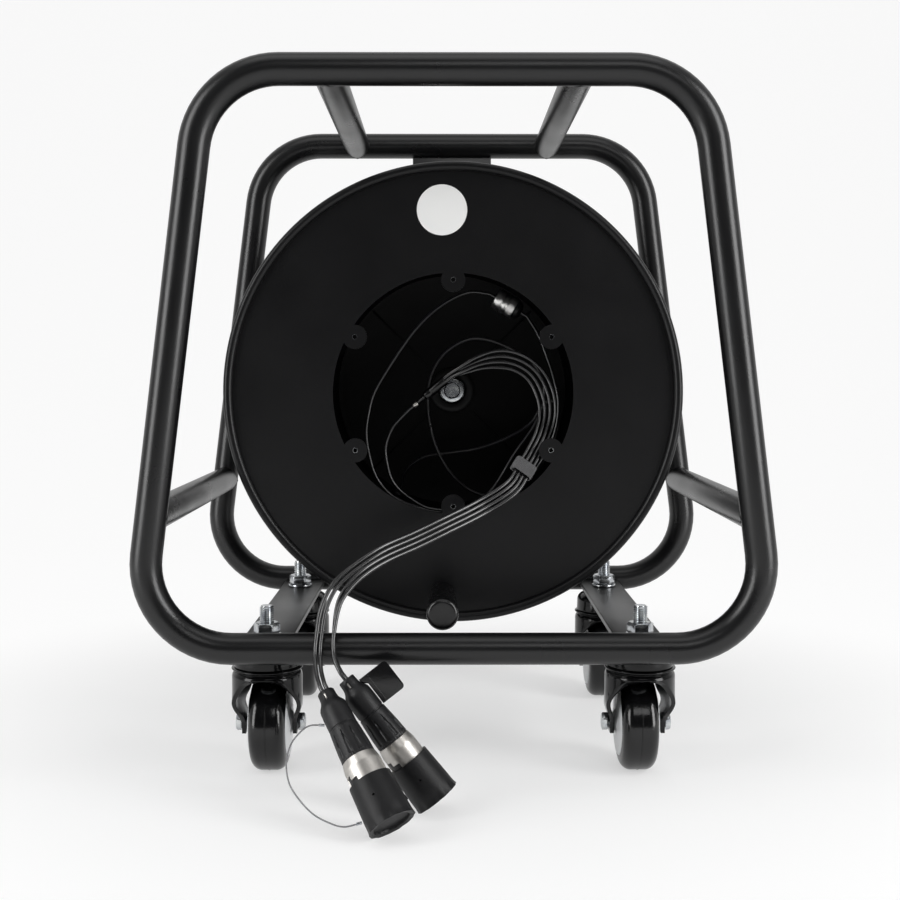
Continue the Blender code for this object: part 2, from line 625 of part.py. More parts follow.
def build_drum(drum):
    add("front_flange", front_flange(), BLACK_POWDER, drum)
    add("barrel", barrel(), BLACK_POWDER, drum)
    add("rear_flange", flange(HUB_R + GAP, REAR_Z - SHEET_T, REAR_Z, 36, 5), BLACK_POWDER, drum)
    hub_front, hub_rear = -0.1282, -0.1580
    seat = REAR_Z - SHEET_T - GAP
    add("drum_hub", turned([
        (0.0133, hub_front), (HUB_R, hub_front), (HUB_R, seat), (0.040, seat), (0.040, seat - 0.004),
        (HUB_R, seat - 0.004), (HUB_R, hub_rear), (0.0133, hub_rear)], 16), ZINC, drum)
    add("hub_bushing", turned([
        (AXLE_R + GAP, hub_front), (0.0130, hub_front), (0.0130, hub_rear), (AXLE_R + GAP, hub_rear)], 16),
        BRONZE, drum)
    add("winding_core", winding_core(), CABLE_JACKET, drum)
    path = wound_path()
    add("cable_winding", tube_curve("cable_winding", path, CABLE_D, 1), CABLE_JACKET, drum)
    print("least gap of the winding to itself: %.2f mm" % (least_gap(path, CABLE_D, LOOP_POINTS // 2) * 1000))
    grommet = cylinder(0.0068, BARREL_R - 0.0065, BARREL_R - 0.0030, 12)
    grommet = boolean(grommet, cylinder(0.0045, BARREL_R - 0.0040, BARREL_R - GAP, 10), "UNION")
    grommet = moved(grommet, aimed(Vector((0.0, 0.0, GROMMET_Z)), polar(1.0, GROMMET_ANGLE)))
    add("cable_grommet", grommet, BLACK_RUBBER, drum)
    entry = sleeve_frame()
    sleeve = turned([(0.0, 0.0), (0.0080, 0.0), (0.0095, 0.0015), (SLEEVE_R, 0.012),
                     (SLEEVE_R, SLEEVE_L), (0.0, SLEEVE_L)], 14)
    add("far_end_sleeve", moved(sleeve, entry), BLACK_PLASTIC, drum)
    cap = turned([(0.0, SLEEVE_L + GAP), (SLEEVE_R, SLEEVE_L + GAP), (SLEEVE_R, SLEEVE_L + 0.006),
                  (0.0095, SLEEVE_L + 0.009), (0.0, SLEEVE_L + 0.009)], 14)
    add("far_end_cap", moved(cap, entry), BLACK_RUBBER, drum)
    knob_axis = joint_frame("knob_axis", polar(KNOB_CIRCLE_R, KNOB_ANGLE), parent=drum)
    add("knob_pin", knob_pin(), ZINC, knob_axis)
    add("crank_knob", crank_knob(), BLACK_RUBBER, knob_axis)


# Cable end: splitter, legs and the two connectors on the floor

def splitter_frame():
    low, high = Vector((-0.025, -0.006, 0.311)), Vector((-0.007, -0.008, 0.326))
    return aimed(low, high - low)


def coupler_frame():
    left, right = Vector((0.040, 0.032, 0.402)), Vector((0.058, 0.030, 0.391))
    return aimed(left, right - left)


def connector_frame(nose_x, nose_y, heading, pitch):
    """Frame at a connector's rear end, its Z along it, its cap's rim resting on the floor."""
    heading, pitch = math.radians(heading), math.radians(pitch)
    flat = math.cos(pitch)
    direction = Vector((flat * math.cos(heading), flat * math.sin(heading), -math.sin(pitch)))
    nose = Vector((nose_x, nose_y, CAP_RIM_R * flat + GAP))
    side = direction.cross(Vector((0.0, 1.0, 0.0)))
    return aimed(nose - direction * CONNECTOR_L, direction, side)


def leg_path(tail, pair, member, connector):
    """Centreline of one leg: its place in the bundle, then with its pair to the connector."""
    splitter = splitter_frame()
    start = splitter @ Vector((0.0, 0.0, SPLITTER_L + GAP))
    run_out = connector @ Vector((0.0, 0.0, -0.006))
    end = connector @ Vector((0.0, 0.0, -GAP))
    last_half, last_turn = tail[-1][2:]
    stations = [(start, *LEG_BUNDLE[0][1:])] + LEG_BUNDLE + tail
    stations += [(run_out, 0.0, last_half, last_turn), (end, 0.0, last_half, last_turn)]
    centres = [Vector(station[0]) for station in stations]
    points = []
    for index, (_, pair_offset, half, turn) in enumerate(stations):
        along = centres[min(index + 1, len(centres) - 1)] - centres[max(index - 1, 0)]
        if index in (0, 1):
            along = splitter.to_3x3() @ Vector((0.0, 0.0, 1.0))
        if index >= len(stations) - 2:
            along = connector.to_3x3() @ Vector((0.0, 0.0, 1.0))
        along.normalize()
        sideways = Vector((-along.z, 0.0, along.x)).normalized()
        forwards = along.cross(sideways)
        angle = math.radians(turn)
        in_pair = member * half * (sideways * math.cos(angle) + forwards * math.sin(angle))
        points.append(centres[index] + sideways * pair * pair_offset + in_pair)
    return [points[0]] + smooth_path(points[1:-1], 24) + [points[-1]]


def tie():
    """Woven strap closed round the four legs."""
    outer = rounded([(-0.0100, -0.0040), (0.0100, -0.0040), (0.0100, 0.0040), (-0.0100, 0.0040)], [0.0038] * 4, 2)
    inner = rounded([(-0.0087, -0.0028), (0.0087, -0.0028), (0.0087, 0.0028), (-0.0087, 0.0028)], [0.0026] * 4, 2)
    strap = boolean(prism(outer, -0.0062, 0.0062), prism(inner, -0.01, 0.01), "DIFFERENCE")
    before, at, after = (Vector(LEG_BUNDLE[TIE_STATION + step][0]) for step in (-1, 0, 1))
    along = (after - before).normalized()
    return moved(strap, aimed(at, along, Vector((-along.z, 0.0, along.x))))


def build_connector(side, frame):
    boot = turned([
        (0.0, 0.0), (0.0066, 0.0), (0.0066, 0.0100), (0.0108, 0.0130), (0.0110, 0.0310), (0.0104, 0.0316),
        (0.0112, 0.0324), (0.0126, 0.0460), (0.0130, 0.0580), (0.0, 0.0580)], 12)
    ring = turned([(0.0, 0.0583), (0.0132, 0.0583), (0.0143, 0.0640), (0.0145, 0.0800), (0.0, 0.0800)], 12)
    cap = turned([
        (0.0, 0.0803), (0.0149, 0.0803), (0.0149, 0.0770), (0.0164, 0.0770), (0.0178, 0.1070),
        (CAP_RIM_R, CONNECTOR_L), (0.0160, CONNECTOR_L - 0.001), (0.0, CONNECTOR_L - 0.004)], 14)
    add(f"connector_boot_{side}", moved(boot, frame), BLACK_RUBBER)
    add(f"coupling_ring_{side}", moved(ring, frame), NICKEL)
    add(f"dust_cap_{side}", moved(cap, frame), BLACK_RUBBER)


def build_tether(side, frame, route):
    """Wire from a boot's left flank round to the left flank of its dust cap."""
    start = frame @ Vector((-0.0108 - TETHER_D, 0.0, 0.0220))
    end = frame @ Vector((-0.0178 - TETHER_D, 0.0, 0.1000))
    path = smooth_path([start, *route, end], 4 + len(route))
    add(f"tether_{side}", tube_curve(f"tether_{side}", path, TETHER_D, 2), STEEL_WIRE)


def cable_tag(frame):
    """Blank flag that stands out from the right connector's boot."""
    corners = [(0.0074, 0.0062), (0.0330, 0.0062), (0.0330, 0.0320), (0.0117, 0.0320), (0.0117, 0.0129),
               (0.0074, 0.0098)]
    outline = rounded(corners, [0.0, 0.003, 0.003, 0.0, 0.0, 0.0], 3)
    flag = prism(outline, -0.0004, 0.0004)
    return moved(upright(flag), frame)


def build_cable_end():
    splitter = splitter_frame()
    coupler = coupler_frame()
    body = turned([(0.0, -0.0090), (0.0018, -0.0090), (0.0022, -0.0010), (0.0040, 0.0), (SPLITTER_R, 0.0010),
                   (SPLITTER_R, SPLITTER_L - 0.0008), (0.0040, SPLITTER_L), (0.0, SPLITTER_L)], 12)
    add("leg_splitter", moved(body, splitter), BLACK_RUBBER)
    ferrule = cylinder(0.0023, -0.0136, -0.0093, 10)
    add("splitter_ferrule", moved(ferrule, splitter), NICKEL)
    shell = turned([
        (0.0, 0.0), (0.0090, 0.0), (0.0100, 0.0012), (0.0100, 0.0078), (0.0094, 0.0085), (0.0102, 0.0092),
        (0.0102, 0.0125), (0.0096, 0.0132), (0.0102, 0.0140), (0.0102, 0.0210), (0.0, 0.0210)], 12)
    add("coupler_shell", moved(shell, coupler), NICKEL)
    seal = turned([(0.0, 0.0213), (0.0086, 0.0213), (0.0080, 0.0255), (0.0050, 0.0275), (0.0, 0.0275)], 12)
    add("coupler_seal", moved(seal, coupler), BLACK_RUBBER)

    start = splitter @ Vector((0.0, 0.0, -0.0136 - GAP))
    out = splitter @ Vector((0.0, 0.0, -0.0190))
    turn_in = coupler @ Vector((0.0, 0.0, 0.0340))
    end = coupler @ Vector((0.0, 0.0, 0.0275 + GAP))
    path = [start, *smooth_path([out, *INNER_ROUTE_A, turn_in], 22), end]
    add("inner_cable_a", tube_curve("inner_cable_a", path, INNER_D, 2), CABLE_JACKET)

    outward = polar(1.0, GROMMET_ANGLE)
    start = coupler @ Vector((0.0, 0.0, -GAP))
    out = coupler @ Vector((0.0, 0.0, -0.0060))
    wall_r = BARREL_R - 0.0065
    turn_in, end = (Vector((outward.x * radius, -GROMMET_Z, AXLE_Z + outward.y * radius))
                    for radius in (wall_r - 0.0060, wall_r - GAP))
    path = [start, *smooth_path([out, *INNER_ROUTE_B, turn_in], 54), end]
    add("inner_cable_b", tube_curve("inner_cable_b", path, INNER_D, 2), CABLE_JACKET)

    connectors = {"left": connector_frame(-0.0446, -0.2720, -49, 45),
                  "right": connector_frame(-0.0130, -0.2120, -10, 51.3)}
    for side, tail, pair in (("left", LEFT_TAIL, -1), ("right", RIGHT_TAIL, 1)):
        build_connector(side, connectors[side])
        for number, member in ((1, -1), (2, 1)):
            name = f"fibre_leg_{side}_{number}"
            path = leg_path(tail, pair, member, connectors[side])
            add(name, tube_curve(name, path, LEG_D, 2), LEG_JACKET)
    build_tether("left", connectors["left"], LEFT_TETHER_ROUTE)
    build_tether("right", connectors["right"], RIGHT_TETHER_ROUTE)
    add("cable_tag", cable_tag(connectors["right"]), BLACK_PLASTIC)
    add("hook_loop_tie", tie(), GREY_STRAP)


def main():
    clear_scene()
    front_view = (math.pi / 2, 0.0, 0.0)
    axle_frame = joint_frame("axle_line", (0.0, 0.0, AXLE_Z), front_view)
    drum_axis = joint_frame("drum_axis", (0.0, 0.0, AXLE_Z), front_view)
    build_frame(axle_frame)
    build_casters()
    build_drum(drum_axis)
    build_cable_end()


main()
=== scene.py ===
# %% [markdown]
# # A wheeled drum of fibre-optic cable
#
# The object is a sheet-steel cable drum that turns on a frame of bent tube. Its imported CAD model
# gives every place and size. This lesson dresses that model: each cell makes one piece or one
# finish, and hangs it on the rigid body that carries it.

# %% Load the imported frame
import math

import bmesh
import bpy
from mathutils import Matrix, Vector


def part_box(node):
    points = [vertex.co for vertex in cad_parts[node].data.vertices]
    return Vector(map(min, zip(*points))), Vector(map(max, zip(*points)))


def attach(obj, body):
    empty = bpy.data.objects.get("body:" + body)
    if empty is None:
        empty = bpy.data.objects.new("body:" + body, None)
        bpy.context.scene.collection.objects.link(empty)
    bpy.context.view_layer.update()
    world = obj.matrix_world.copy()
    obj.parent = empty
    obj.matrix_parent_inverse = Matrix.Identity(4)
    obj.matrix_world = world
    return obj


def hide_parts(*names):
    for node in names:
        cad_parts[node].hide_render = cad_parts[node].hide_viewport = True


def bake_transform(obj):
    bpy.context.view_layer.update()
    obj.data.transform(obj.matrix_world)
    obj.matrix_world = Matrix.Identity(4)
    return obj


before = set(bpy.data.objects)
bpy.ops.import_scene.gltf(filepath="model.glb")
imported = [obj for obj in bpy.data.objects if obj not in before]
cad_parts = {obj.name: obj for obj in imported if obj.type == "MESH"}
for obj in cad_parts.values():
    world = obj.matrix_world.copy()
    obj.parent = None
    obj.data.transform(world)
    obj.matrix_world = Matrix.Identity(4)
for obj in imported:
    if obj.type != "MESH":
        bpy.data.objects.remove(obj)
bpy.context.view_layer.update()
bpy.context.scene.view_settings.view_transform = "Standard"

# %% [markdown]
# ## Camera
#
# The lens stands a little above the drum's axle and is tilted slightly down. It was worked out
# from the rings, which are two equal shapes at known depths: their sizes in the picture give the
# distance, and their offset gives the height.

# %% Camera
deg = math.radians
CAMERA_PLACE = (-0.0068, -1.1591, 0.3372)
TILT_DOWN, TURN_RIGHT = 3.70, 0.21
bpy.ops.object.select_all(action="DESELECT")
bpy.ops.object.camera_add(location=CAMERA_PLACE, rotation=(deg(90 - TILT_DOWN), 0.0, deg(-TURN_RIGHT)))
camera = bpy.context.object
camera.name = "photo_camera"
camera.data.lens = 51.05
camera.data.sensor_width = 36.0
bpy.context.scene.camera = camera

# %% [markdown]
# ## Room
#
# Black things show only what they reflect, so the room matters more than the paint. The studio is
# white above, behind and below, and dim on the camera's side, which is why the flange looks nearly
# black while the tubes carry long pale lines. One pale sheet serves as floor and backdrop.

# %% Floor, backdrop and lamps
FLOOR_HALF = 3.0
BACKDROP_Y = 3.2
BACKDROP_BEND = 2.0
BACKDROP_RISE = 1.2


def deselect():
    if bpy.context.mode != "OBJECT":
        bpy.ops.object.mode_set(mode="OBJECT")
    bpy.ops.object.select_all(action="DESELECT")


def make_backdrop():
    """Pull one edge of a plane round a quarter bend and up, so that floor and wall have no corner."""
    deselect()
    bpy.ops.mesh.primitive_plane_add(size=1.0, location=(0.0, 0.0, 0.0))
    sheet = bpy.context.object
    sheet.name = "studio_sheet"
    for vertex in sheet.data.vertices:
        vertex.co.x *= 2 * FLOOR_HALF
        vertex.co.y = BACKDROP_Y - BACKDROP_BEND if vertex.co.y > 0 else -FLOOR_HALF
    bpy.ops.object.mode_set(mode="EDIT")
    bpy.ops.mesh.select_all(action="DESELECT")
    bpy.ops.object.mode_set(mode="OBJECT")
    for edge in sheet.data.edges:
        edge.select = all(sheet.data.vertices[i].co.y > 0 for i in edge.vertices)
    bpy.ops.object.mode_set(mode="EDIT")
    bpy.ops.mesh.select_mode(type="EDGE")
    centre = (0.0, BACKDROP_Y - BACKDROP_BEND, BACKDROP_BEND)
    bpy.ops.mesh.spin(steps=48, angle=deg(90), center=centre, axis=(-1.0, 0.0, 0.0))
    bpy.ops.mesh.extrude_region_move(TRANSFORM_OT_translate={"value": (0, 0, BACKDROP_RISE)})
    bpy.ops.object.mode_set(mode="OBJECT")
    bpy.ops.object.shade_smooth()
    return sheet


def soft_box(name, place, aim, width, height, power):
    """A large rectangular lamp turned towards a point."""
    deselect()
    turn = (Vector(aim) - Vector(place)).to_track_quat("-Z", "Y").to_euler()
    bpy.ops.object.light_add(type="AREA", location=place, rotation=turn)
    lamp = bpy.context.object
    lamp.name = name
    lamp.data.shape = "RECTANGLE"
    lamp.data.size = width
    lamp.data.size_y = height
    lamp.data.energy = power


backdrop = make_backdrop()
middle = (0.0, 0.0, 0.30)
soft_box("lamp_above", (0.0, -0.45, 1.75), middle, 1.5, 0.8, 4.0)
soft_box("lamp_left", (-1.45, -0.95, 0.75), middle, 0.7, 1.6, 20.0)
soft_box("lamp_right", (1.45, -0.95, 0.75), middle, 0.7, 1.6, 26.0)
soft_box("lamp_front", (0.3, -2.0, 1.5), middle, 1.0, 0.6, 4.0)
print("backdrop reaches", [round(x, 2) for x in backdrop.dimensions])

# %% [markdown]
# ## Shader arithmetic
#
# A procedural finish is mostly arithmetic on noise. Wiring Math nodes by hand hides the formula,
# so a small class wraps a socket and lets Python's own operators add the nodes. Everything else
# comes from one method that names a node, its settings and its sockets. The world is wired the
# same way, so the method belongs to a class that knows only a node tree.

# %% A socket that takes operators, a network and a finish
DIRECTION, OBJECT_PLACE = 0, 3
CAMERA_RAY, GLOSSY_RAY, TRANSMISSION_RAY = 0, 3, 6
WHITE = (1.0, 1.0, 1.0, 1.0)


class Wire:
    """An output socket. Adding or multiplying it adds the Math node that does so."""

    def __init__(self, network, socket):
        self.network = network
        self.socket = socket

    def math(self, operation, second=0.0):
        return self.network.node("Math", {"operation": operation}, {0: self, 1: second})

    def __add__(self, other):
        return self.math("ADD", other)

    def __mul__(self, other):
        return self.math("MULTIPLY", other)

    def __pow__(self, other):
        return self.math("POWER", other)

    def sine(self):
        return self.math("SINE")

    def above(self, low, high):
        """0 below low, 1 above high and smooth between them."""
        settings = {"interpolation_type": "SMOOTHSTEP"}
        return self.network.node("MapRange", settings, {"Value": self, "From Min": low, "From Max": high})


class Network:
    """A node tree whose nodes are added and wired in one step each."""

    def __init__(self, tree):
        self.tree = tree

    def fill(self, node, sockets):
        for key, value in sockets.items():
            if isinstance(value, Wire):
                self.tree.links.new(value.socket, node.inputs[key])
            else:
                node.inputs[key].default_value = value

    def node(self, kind, settings=None, sockets=None, output=0):
        node = self.tree.nodes.new("ShaderNode" + kind)
        for key, value in (settings or {}).items():
            setattr(node, key, value)
        self.fill(node, sockets or {})
        return Wire(self, node.outputs[output])

    def part(self, where, axis):
        """One coordinate of a place: 0 for X, 1 for Y, 2 for Z."""
        return self.node("SeparateXYZ", {}, {0: where}, output=axis)

    def is_ray(self, kind):
        """1 for rays of a kind, which is an output of Light Path."""
        return self.node("LightPath", output=kind)

    def end_in(self, mixed):
        """Mixed shader to the tree's output."""
        output = next(node for node in self.tree.nodes if node.bl_idname.startswith("ShaderNodeOutput"))
        self.fill(output, {"Surface": mixed})


class Finish(Network):
    """A material that starts from one Principled shader."""

    def __init__(self, name, colour, roughness, metallic=0.0, **more):
        self.material = bpy.data.materials.new(name)
        self.material.use_nodes = True
        super().__init__(self.material.node_tree)
        self.shader = self.tree.nodes["Principled BSDF"]
        self.fill(self.shader, {"Base Color": (*colour, 1.0), "Roughness": roughness, "Metallic": metallic})
        self.fill(self.shader, {key.replace("_", " "): value for key, value in more.items()})

    def place(self):
        return self.node("TexCoord", output=OBJECT_PLACE)

    def length_map(self):
        """U round a cord and V along it, in metres."""
        return self.node("UVMap", {"uv_map": "Length"})

    def noise(self, scale, detail=2.0):
        return self.node("TexNoise", {}, {"Vector": self.place(), "Scale": scale, "Detail": detail})

    def tint(self, mask, low, high):
        """Blend from one colour to another by a mask, into the base colour."""
        mix = self.tree.nodes.new("ShaderNodeMix")
        mix.data_type = "RGBA"
        self.fill(mix, {0: mask, 6: (*low, 1.0), 7: (*high, 1.0)})
        self.tree.links.new(mix.outputs[2], self.shader.inputs["Base Color"])

    def rough(self, wire):
        self.fill(self.shader, {"Roughness": wire})

    def bump(self, height, distance):
        normal = self.node("Bump", {}, {"Height": height, "Distance": distance})
        self.fill(self.shader, {"Normal": normal})


# %% [markdown]
# ## Room finishes
#
# The sheet has to look white to the camera and still carry the faint shadows. Near the object
# half of what the camera sees there is a plain glow and half is lit paper, and further away the
# glow takes most. The world is white where the camera looks, or a mirror looks behind the object,
# and dim where a mirror looks back at the camera.

# %% Paper and sky
MIRRORED_SHARE = 0.6
GLOW = 1.03
NEAR_SHARE, FAR_SHARE = 0.50, 0.88
SHADOW_R, PLAIN_R = 0.24, 0.72


def make_paper():
    paper = Finish("studio_paper", (0.94, 0.94, 0.94), 0.9)
    mirrored = paper.is_ray(GLOSSY_RAY) + paper.is_ray(TRANSMISSION_RAY)
    seen = paper.is_ray(CAMERA_RAY) + mirrored * MIRRORED_SHARE
    glow = paper.node("Emission", {}, {"Color": WHITE, "Strength": GLOW})
    across, back, up = (paper.part(paper.place(), axis) for axis in range(3))
    away = (across * across + back * back + up * up) ** 0.5
    share = away.above(SHADOW_R, PLAIN_R) * (FAR_SHARE - NEAR_SHARE) + NEAR_SHARE
    lit = Wire(paper, paper.shader.outputs[0])
    paper.end_in(paper.node("MixShader", {}, {0: seen * share, 1: lit, 2: glow}))
    return paper.material


def make_sky():
    """White for the camera, and for light a room that is dim on the camera's side."""
    world = bpy.data.worlds.new("studio_world")
    bpy.context.scene.world = world
    world.use_nodes = True
    sky = Network(world.node_tree)
    back = sky.part(sky.node("TexCoord", output=DIRECTION), 1)
    room_node = world.node_tree.nodes["Background"]
    sky.fill(room_node, {"Color": (0.8, 0.8, 0.8, 1.0), "Strength": back.above(-0.75, 0.35) * 0.57 + 0.05})
    room = Wire(sky, room_node.outputs[0])
    white = sky.node("Background", {}, {"Color": WHITE, "Strength": 1.0})
    mirrored_behind = sky.is_ray(GLOSSY_RAY) * back.above(0.2, 0.9)
    seen = sky.is_ray(CAMERA_RAY) + mirrored_behind + sky.is_ray(TRANSMISSION_RAY)
    sky.end_in(sky.node("MixShader", {}, {0: seen, 1: room, 2: white}))


backdrop.data.materials.append(make_paper())
make_sky()

# %% [markdown]
# ## Finishes
#
# Powder coat is black plastic baked onto steel: fine orange peel all over and, at a larger
# scale, faint clouds where the powder flowed more or less. Noise at two scales gives both. The
# flanges are flatter in sheen than the tubes, so one function makes the two.

# %% Powder coat and lacquer


def powder_coat(name, colour, sheen, peel, gloss=0.5):
    finish = Finish(name, colour, sheen, Specular_IOR_Level=gloss)
    cloud = finish.noise(18.0, 4.0)
    finish.rough(cloud * 0.14 + (sheen - 0.07))
    finish.bump(finish.noise(1100.0, 2.0), peel)
    return finish.material


tube_black = powder_coat("tube_powder_coat", (0.0032, 0.0032, 0.0036), 0.29, 0.00008)
sheet_black = powder_coat("sheet_powder_coat", (0.0030, 0.0030, 0.0034), 0.34, 0.00008, gloss=0.28)
# A far darker copy of the coat for the barrel and rear flange: painted shade for the deep cavity, so the
# rear flange's outer face is darker than the front one too.
cavity_shade_black = powder_coat("cavity_shade_powder_coat", (0.0007, 0.0007, 0.0008), 0.46, 0.00010, gloss=0.14)
bar_black = powder_coat("bar_powder_coat", (0.0080, 0.0080, 0.0085), 0.36, 0.00010, gloss=0.8)


def pressed_lacquer():
    """Gloss dip on the casters' pressed steel, with slow waves left by the dip."""
    finish = Finish("caster_lacquer", (0.0030, 0.0030, 0.0034), 0.12, Specular_IOR_Level=0.26,
                    Coat_Weight=0.12, Coat_Roughness=0.05)
    finish.rough(finish.noise(90.0, 3.0) * 0.12 + 0.08)
    finish.bump(finish.noise(60.0, 1.0), 0.0004)
    return finish.material


caster_black = pressed_lacquer()

# %% [markdown]
# Zinc and nickel are mirrors with small faults. Zinc plate is cloudy and faintly blue. Nickel is
# satin on the connectors and shinier on the coupler, and both are finely worn. The coupler's nickel
# is also far lighter in colour, as painted light, because no lamp reaches it inside the cavity.

# %% Plated metals


def zinc_plate():
    finish = Finish("zinc_plate", (0.60, 0.62, 0.64), 0.26, 1.0)
    cloud = finish.noise(160.0, 4.0)
    finish.tint(cloud.above(0.35, 0.70), (0.46, 0.48, 0.51), (0.70, 0.72, 0.72))
    finish.rough(cloud * 0.16 + 0.14)
    finish.bump(finish.noise(1440.0, 2.0), 0.00001)
    return finish.material


def nickel_plate(name, colour, sheen):
    finish = Finish(name, colour, sheen, 1.0)
    wear = finish.noise(420.0, 5.0)
    worn = tuple(0.92 * part for part in colour)
    finish.tint(wear.above(0.38, 0.72), worn, colour)
    finish.rough(wear * 0.08 + (sheen - 0.04))
    finish.bump(finish.noise(2600.0, 1.0), 0.00001)
    return finish.material


def oiled_bronze():
    finish = Finish("oiled_bronze", (0.40, 0.25, 0.11), 0.40, 1.0)
    pores = finish.noise(1500.0, 2.0)
    finish.tint(pores.above(0.35, 0.60), (0.22, 0.13, 0.06), (0.46, 0.29, 0.13))
    finish.bump(pores, 0.0001)
    return finish.material


def stranded_wire():
    """Seven strands seen round the wire, which measures 3.77 mm round."""
    finish = Finish("stranded_wire", (0.33, 0.33, 0.34), 0.34, 1.0)
    uv = finish.length_map()
    twist = (finish.part(uv, 1) * 5200.0 + finish.part(uv, 0) * (math.tau * 7 / 0.00377)).sine()
    finish.tint(twist.above(-0.9, 0.4), (0.12, 0.12, 0.125), (0.42, 0.42, 0.43))
    finish.bump(twist, 0.00008)
    return finish.material


zinc = zinc_plate()
nickel = nickel_plate("satin_nickel", (0.56, 0.54, 0.51), 0.38)
# The coupler's nickel: a much lighter colour, painted light for a part in the shadow of every lamp.
coupler_nickel_painted_light = nickel_plate("coupler_nickel_painted_light", (0.90, 0.89, 0.87), 0.30)
bronze = oiled_bronze()
wire_steel = stranded_wire()

# %% [markdown]
# Black rubber, plastic and cable jacket differ only in how they scatter light. Rubber is dull
# with a fine mould grain, the hard plastic has a half-gloss, and the jackets shine softly along
# their length. The four fibre legs are finely ribbed, so their finish reads the length along the
# cord from a UV map in metres.

# %% Rubber, plastic and jackets


def moulded(name, colour, sheen, grain_scale, grain, gloss=0.5):
    finish = Finish(name, colour, sheen, Specular_IOR_Level=gloss)
    finish.rough(finish.noise(45.0, 4.0) * 0.16 + (sheen - 0.08))
    finish.bump(finish.noise(grain_scale, 2.0), grain)
    return finish.material


boot_rubber = moulded("boot_rubber", (0.0050, 0.0050, 0.0058), 0.42, 1700.0, 0.00012, gloss=0.36)
cap_rubber = moulded("cap_rubber", (0.0036, 0.0036, 0.0042), 0.45, 1400.0, 0.00014, gloss=0.32)
knob_plastic = moulded("knob_plastic", (0.0018, 0.0018, 0.0020), 0.26, 1300.0, 0.00005, gloss=0.5)
tread_rubber = moulded("tread_rubber", (0.0030, 0.0030, 0.0034), 0.16, 700.0, 0.00006)
sleeve_plastic = moulded("sleeve_plastic", (0.010, 0.010, 0.011), 0.36, 900.0, 0.00008)
label_plastic = moulded("label_plastic", (0.0040, 0.0040, 0.0044), 0.22, 300.0, 0.00008)
cord_jacket = moulded("cord_jacket", (0.0060, 0.0060, 0.0065), 0.30, 1500.0, 0.00004, gloss=1.0)
cable_jacket = moulded("cable_jacket", (0.0085, 0.0085, 0.009), 0.46, 900.0, 0.00012)
wheel_grey = moulded("wheel_centre_grey", (0.72, 0.73, 0.74), 0.38, 900.0, 0.00006)


def ribbed_jacket():
    finish = Finish("ribbed_jacket", (0.008, 0.008, 0.0085), 0.22, Specular_IOR_Level=0.9)
    uv = finish.length_map()
    ribs = (finish.part(uv, 1) * 4200.0 + finish.part(uv, 0) * 1333.0).sine()
    finish.tint(ribs.above(-0.8, 0.9), (0.006, 0.006, 0.0065), (0.009, 0.009, 0.0095))
    finish.rough(finish.noise(200.0, 3.0) * 0.10 + 0.16)
    finish.bump(ribs, 0.00001)
    return finish.material


def woven_strap():
    """Hook-and-loop tape: ribs of a plain weave, with fuzz over them."""
    finish = Finish("woven_strap", (0.075, 0.075, 0.078), 0.85, Sheen_Weight=0.4)
    uv = finish.length_map()
    ribs = (finish.part(uv, 1) * 7000.0).sine() * (finish.part(uv, 0) * 7000.0).sine()
    fuzz = finish.noise(2600.0, 3.0)
    finish.tint(fuzz.above(0.35, 0.7), (0.040, 0.040, 0.042), (0.125, 0.125, 0.130))
    finish.bump(ribs * 0.5 + fuzz, 0.0004)
    return finish.material


def white_vinyl():
    finish = Finish("white_vinyl", (0.78, 0.78, 0.77), 0.38)
    finish.rough(finish.noise(120.0, 3.0) * 0.12 + 0.32)
    finish.bump(finish.noise(260.0, 2.0), 0.00005)
    return finish.material


leg_jacket = ribbed_jacket()
strap_grey = woven_strap()
vinyl = white_vinyl()

# %% [markdown]
# ## Modelling helpers
#
# Most of this object was turned, bent or pressed, and a few moves repeat: spin a profile, push a
# flat outline into a solid, cut one shape with another, round the edges, and set the piece where
# the CAD has it. Each is an operator that one would use by hand.

# %% Select, settle, round, cut and copy
SAME_SPOT = 0.00001


def pick(piece):
    deselect()
    piece.select_set(True)
    bpy.context.view_layer.objects.active = piece


def settle(piece, place):
    """Move a piece to its place, then write that place into its mesh."""
    piece.matrix_world = place
    pick(piece)
    bpy.ops.object.transform_apply(location=True, rotation=True, scale=True)
    return piece


def discard(*pieces):
    for piece in pieces:
        bpy.data.objects.remove(piece, do_unlink=True)


def modified(piece, kind, **settings):
    """Add a modifier, set it up and apply it."""
    pick(piece)
    modifier = piece.modifiers.new(kind.title(), kind)
    for key, value in settings.items():
        setattr(modifier, key, value)
    bpy.ops.object.modifier_apply(modifier=modifier.name)
    return piece


def soften(piece, width=0.0, segments=2):
    """Round the sharp edges by a width and shade the rest smooth."""
    if width:
        modified(piece, "BEVEL", width=width, segments=segments, limit_method="ANGLE", angle_limit=deg(30))
    pick(piece)
    bpy.ops.object.shade_smooth_by_angle(angle=deg(35))
    return piece


def cut(piece, tool, operation="DIFFERENCE"):
    """Change a piece by a second one, which is used up."""
    modified(piece, "BOOLEAN", operation=operation, solver="EXACT", object=tool)
    discard(tool)
    return piece


def copied(piece, name, place):
    """A copy with a mesh of its own, settled at a place."""
    pick(piece)
    bpy.ops.object.duplicate(linked=False)
    twin = bpy.context.object
    twin.name = name
    return settle(twin, place)


def joined(name, pieces):
    pick(pieces[0])
    for piece in pieces:
        piece.select_set(True)
    bpy.ops.object.join()
    pieces[0].name = name
    return pieces[0]


def dress(piece, material, body, slot, *nodes):
    """Give a finished piece its material and its rigid body, and hide the CAD nodes that it stands for."""
    piece.data.materials.clear()
    piece.data.materials.append(material)
    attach(piece, body)
    if nodes:
        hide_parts(*nodes)
    return piece


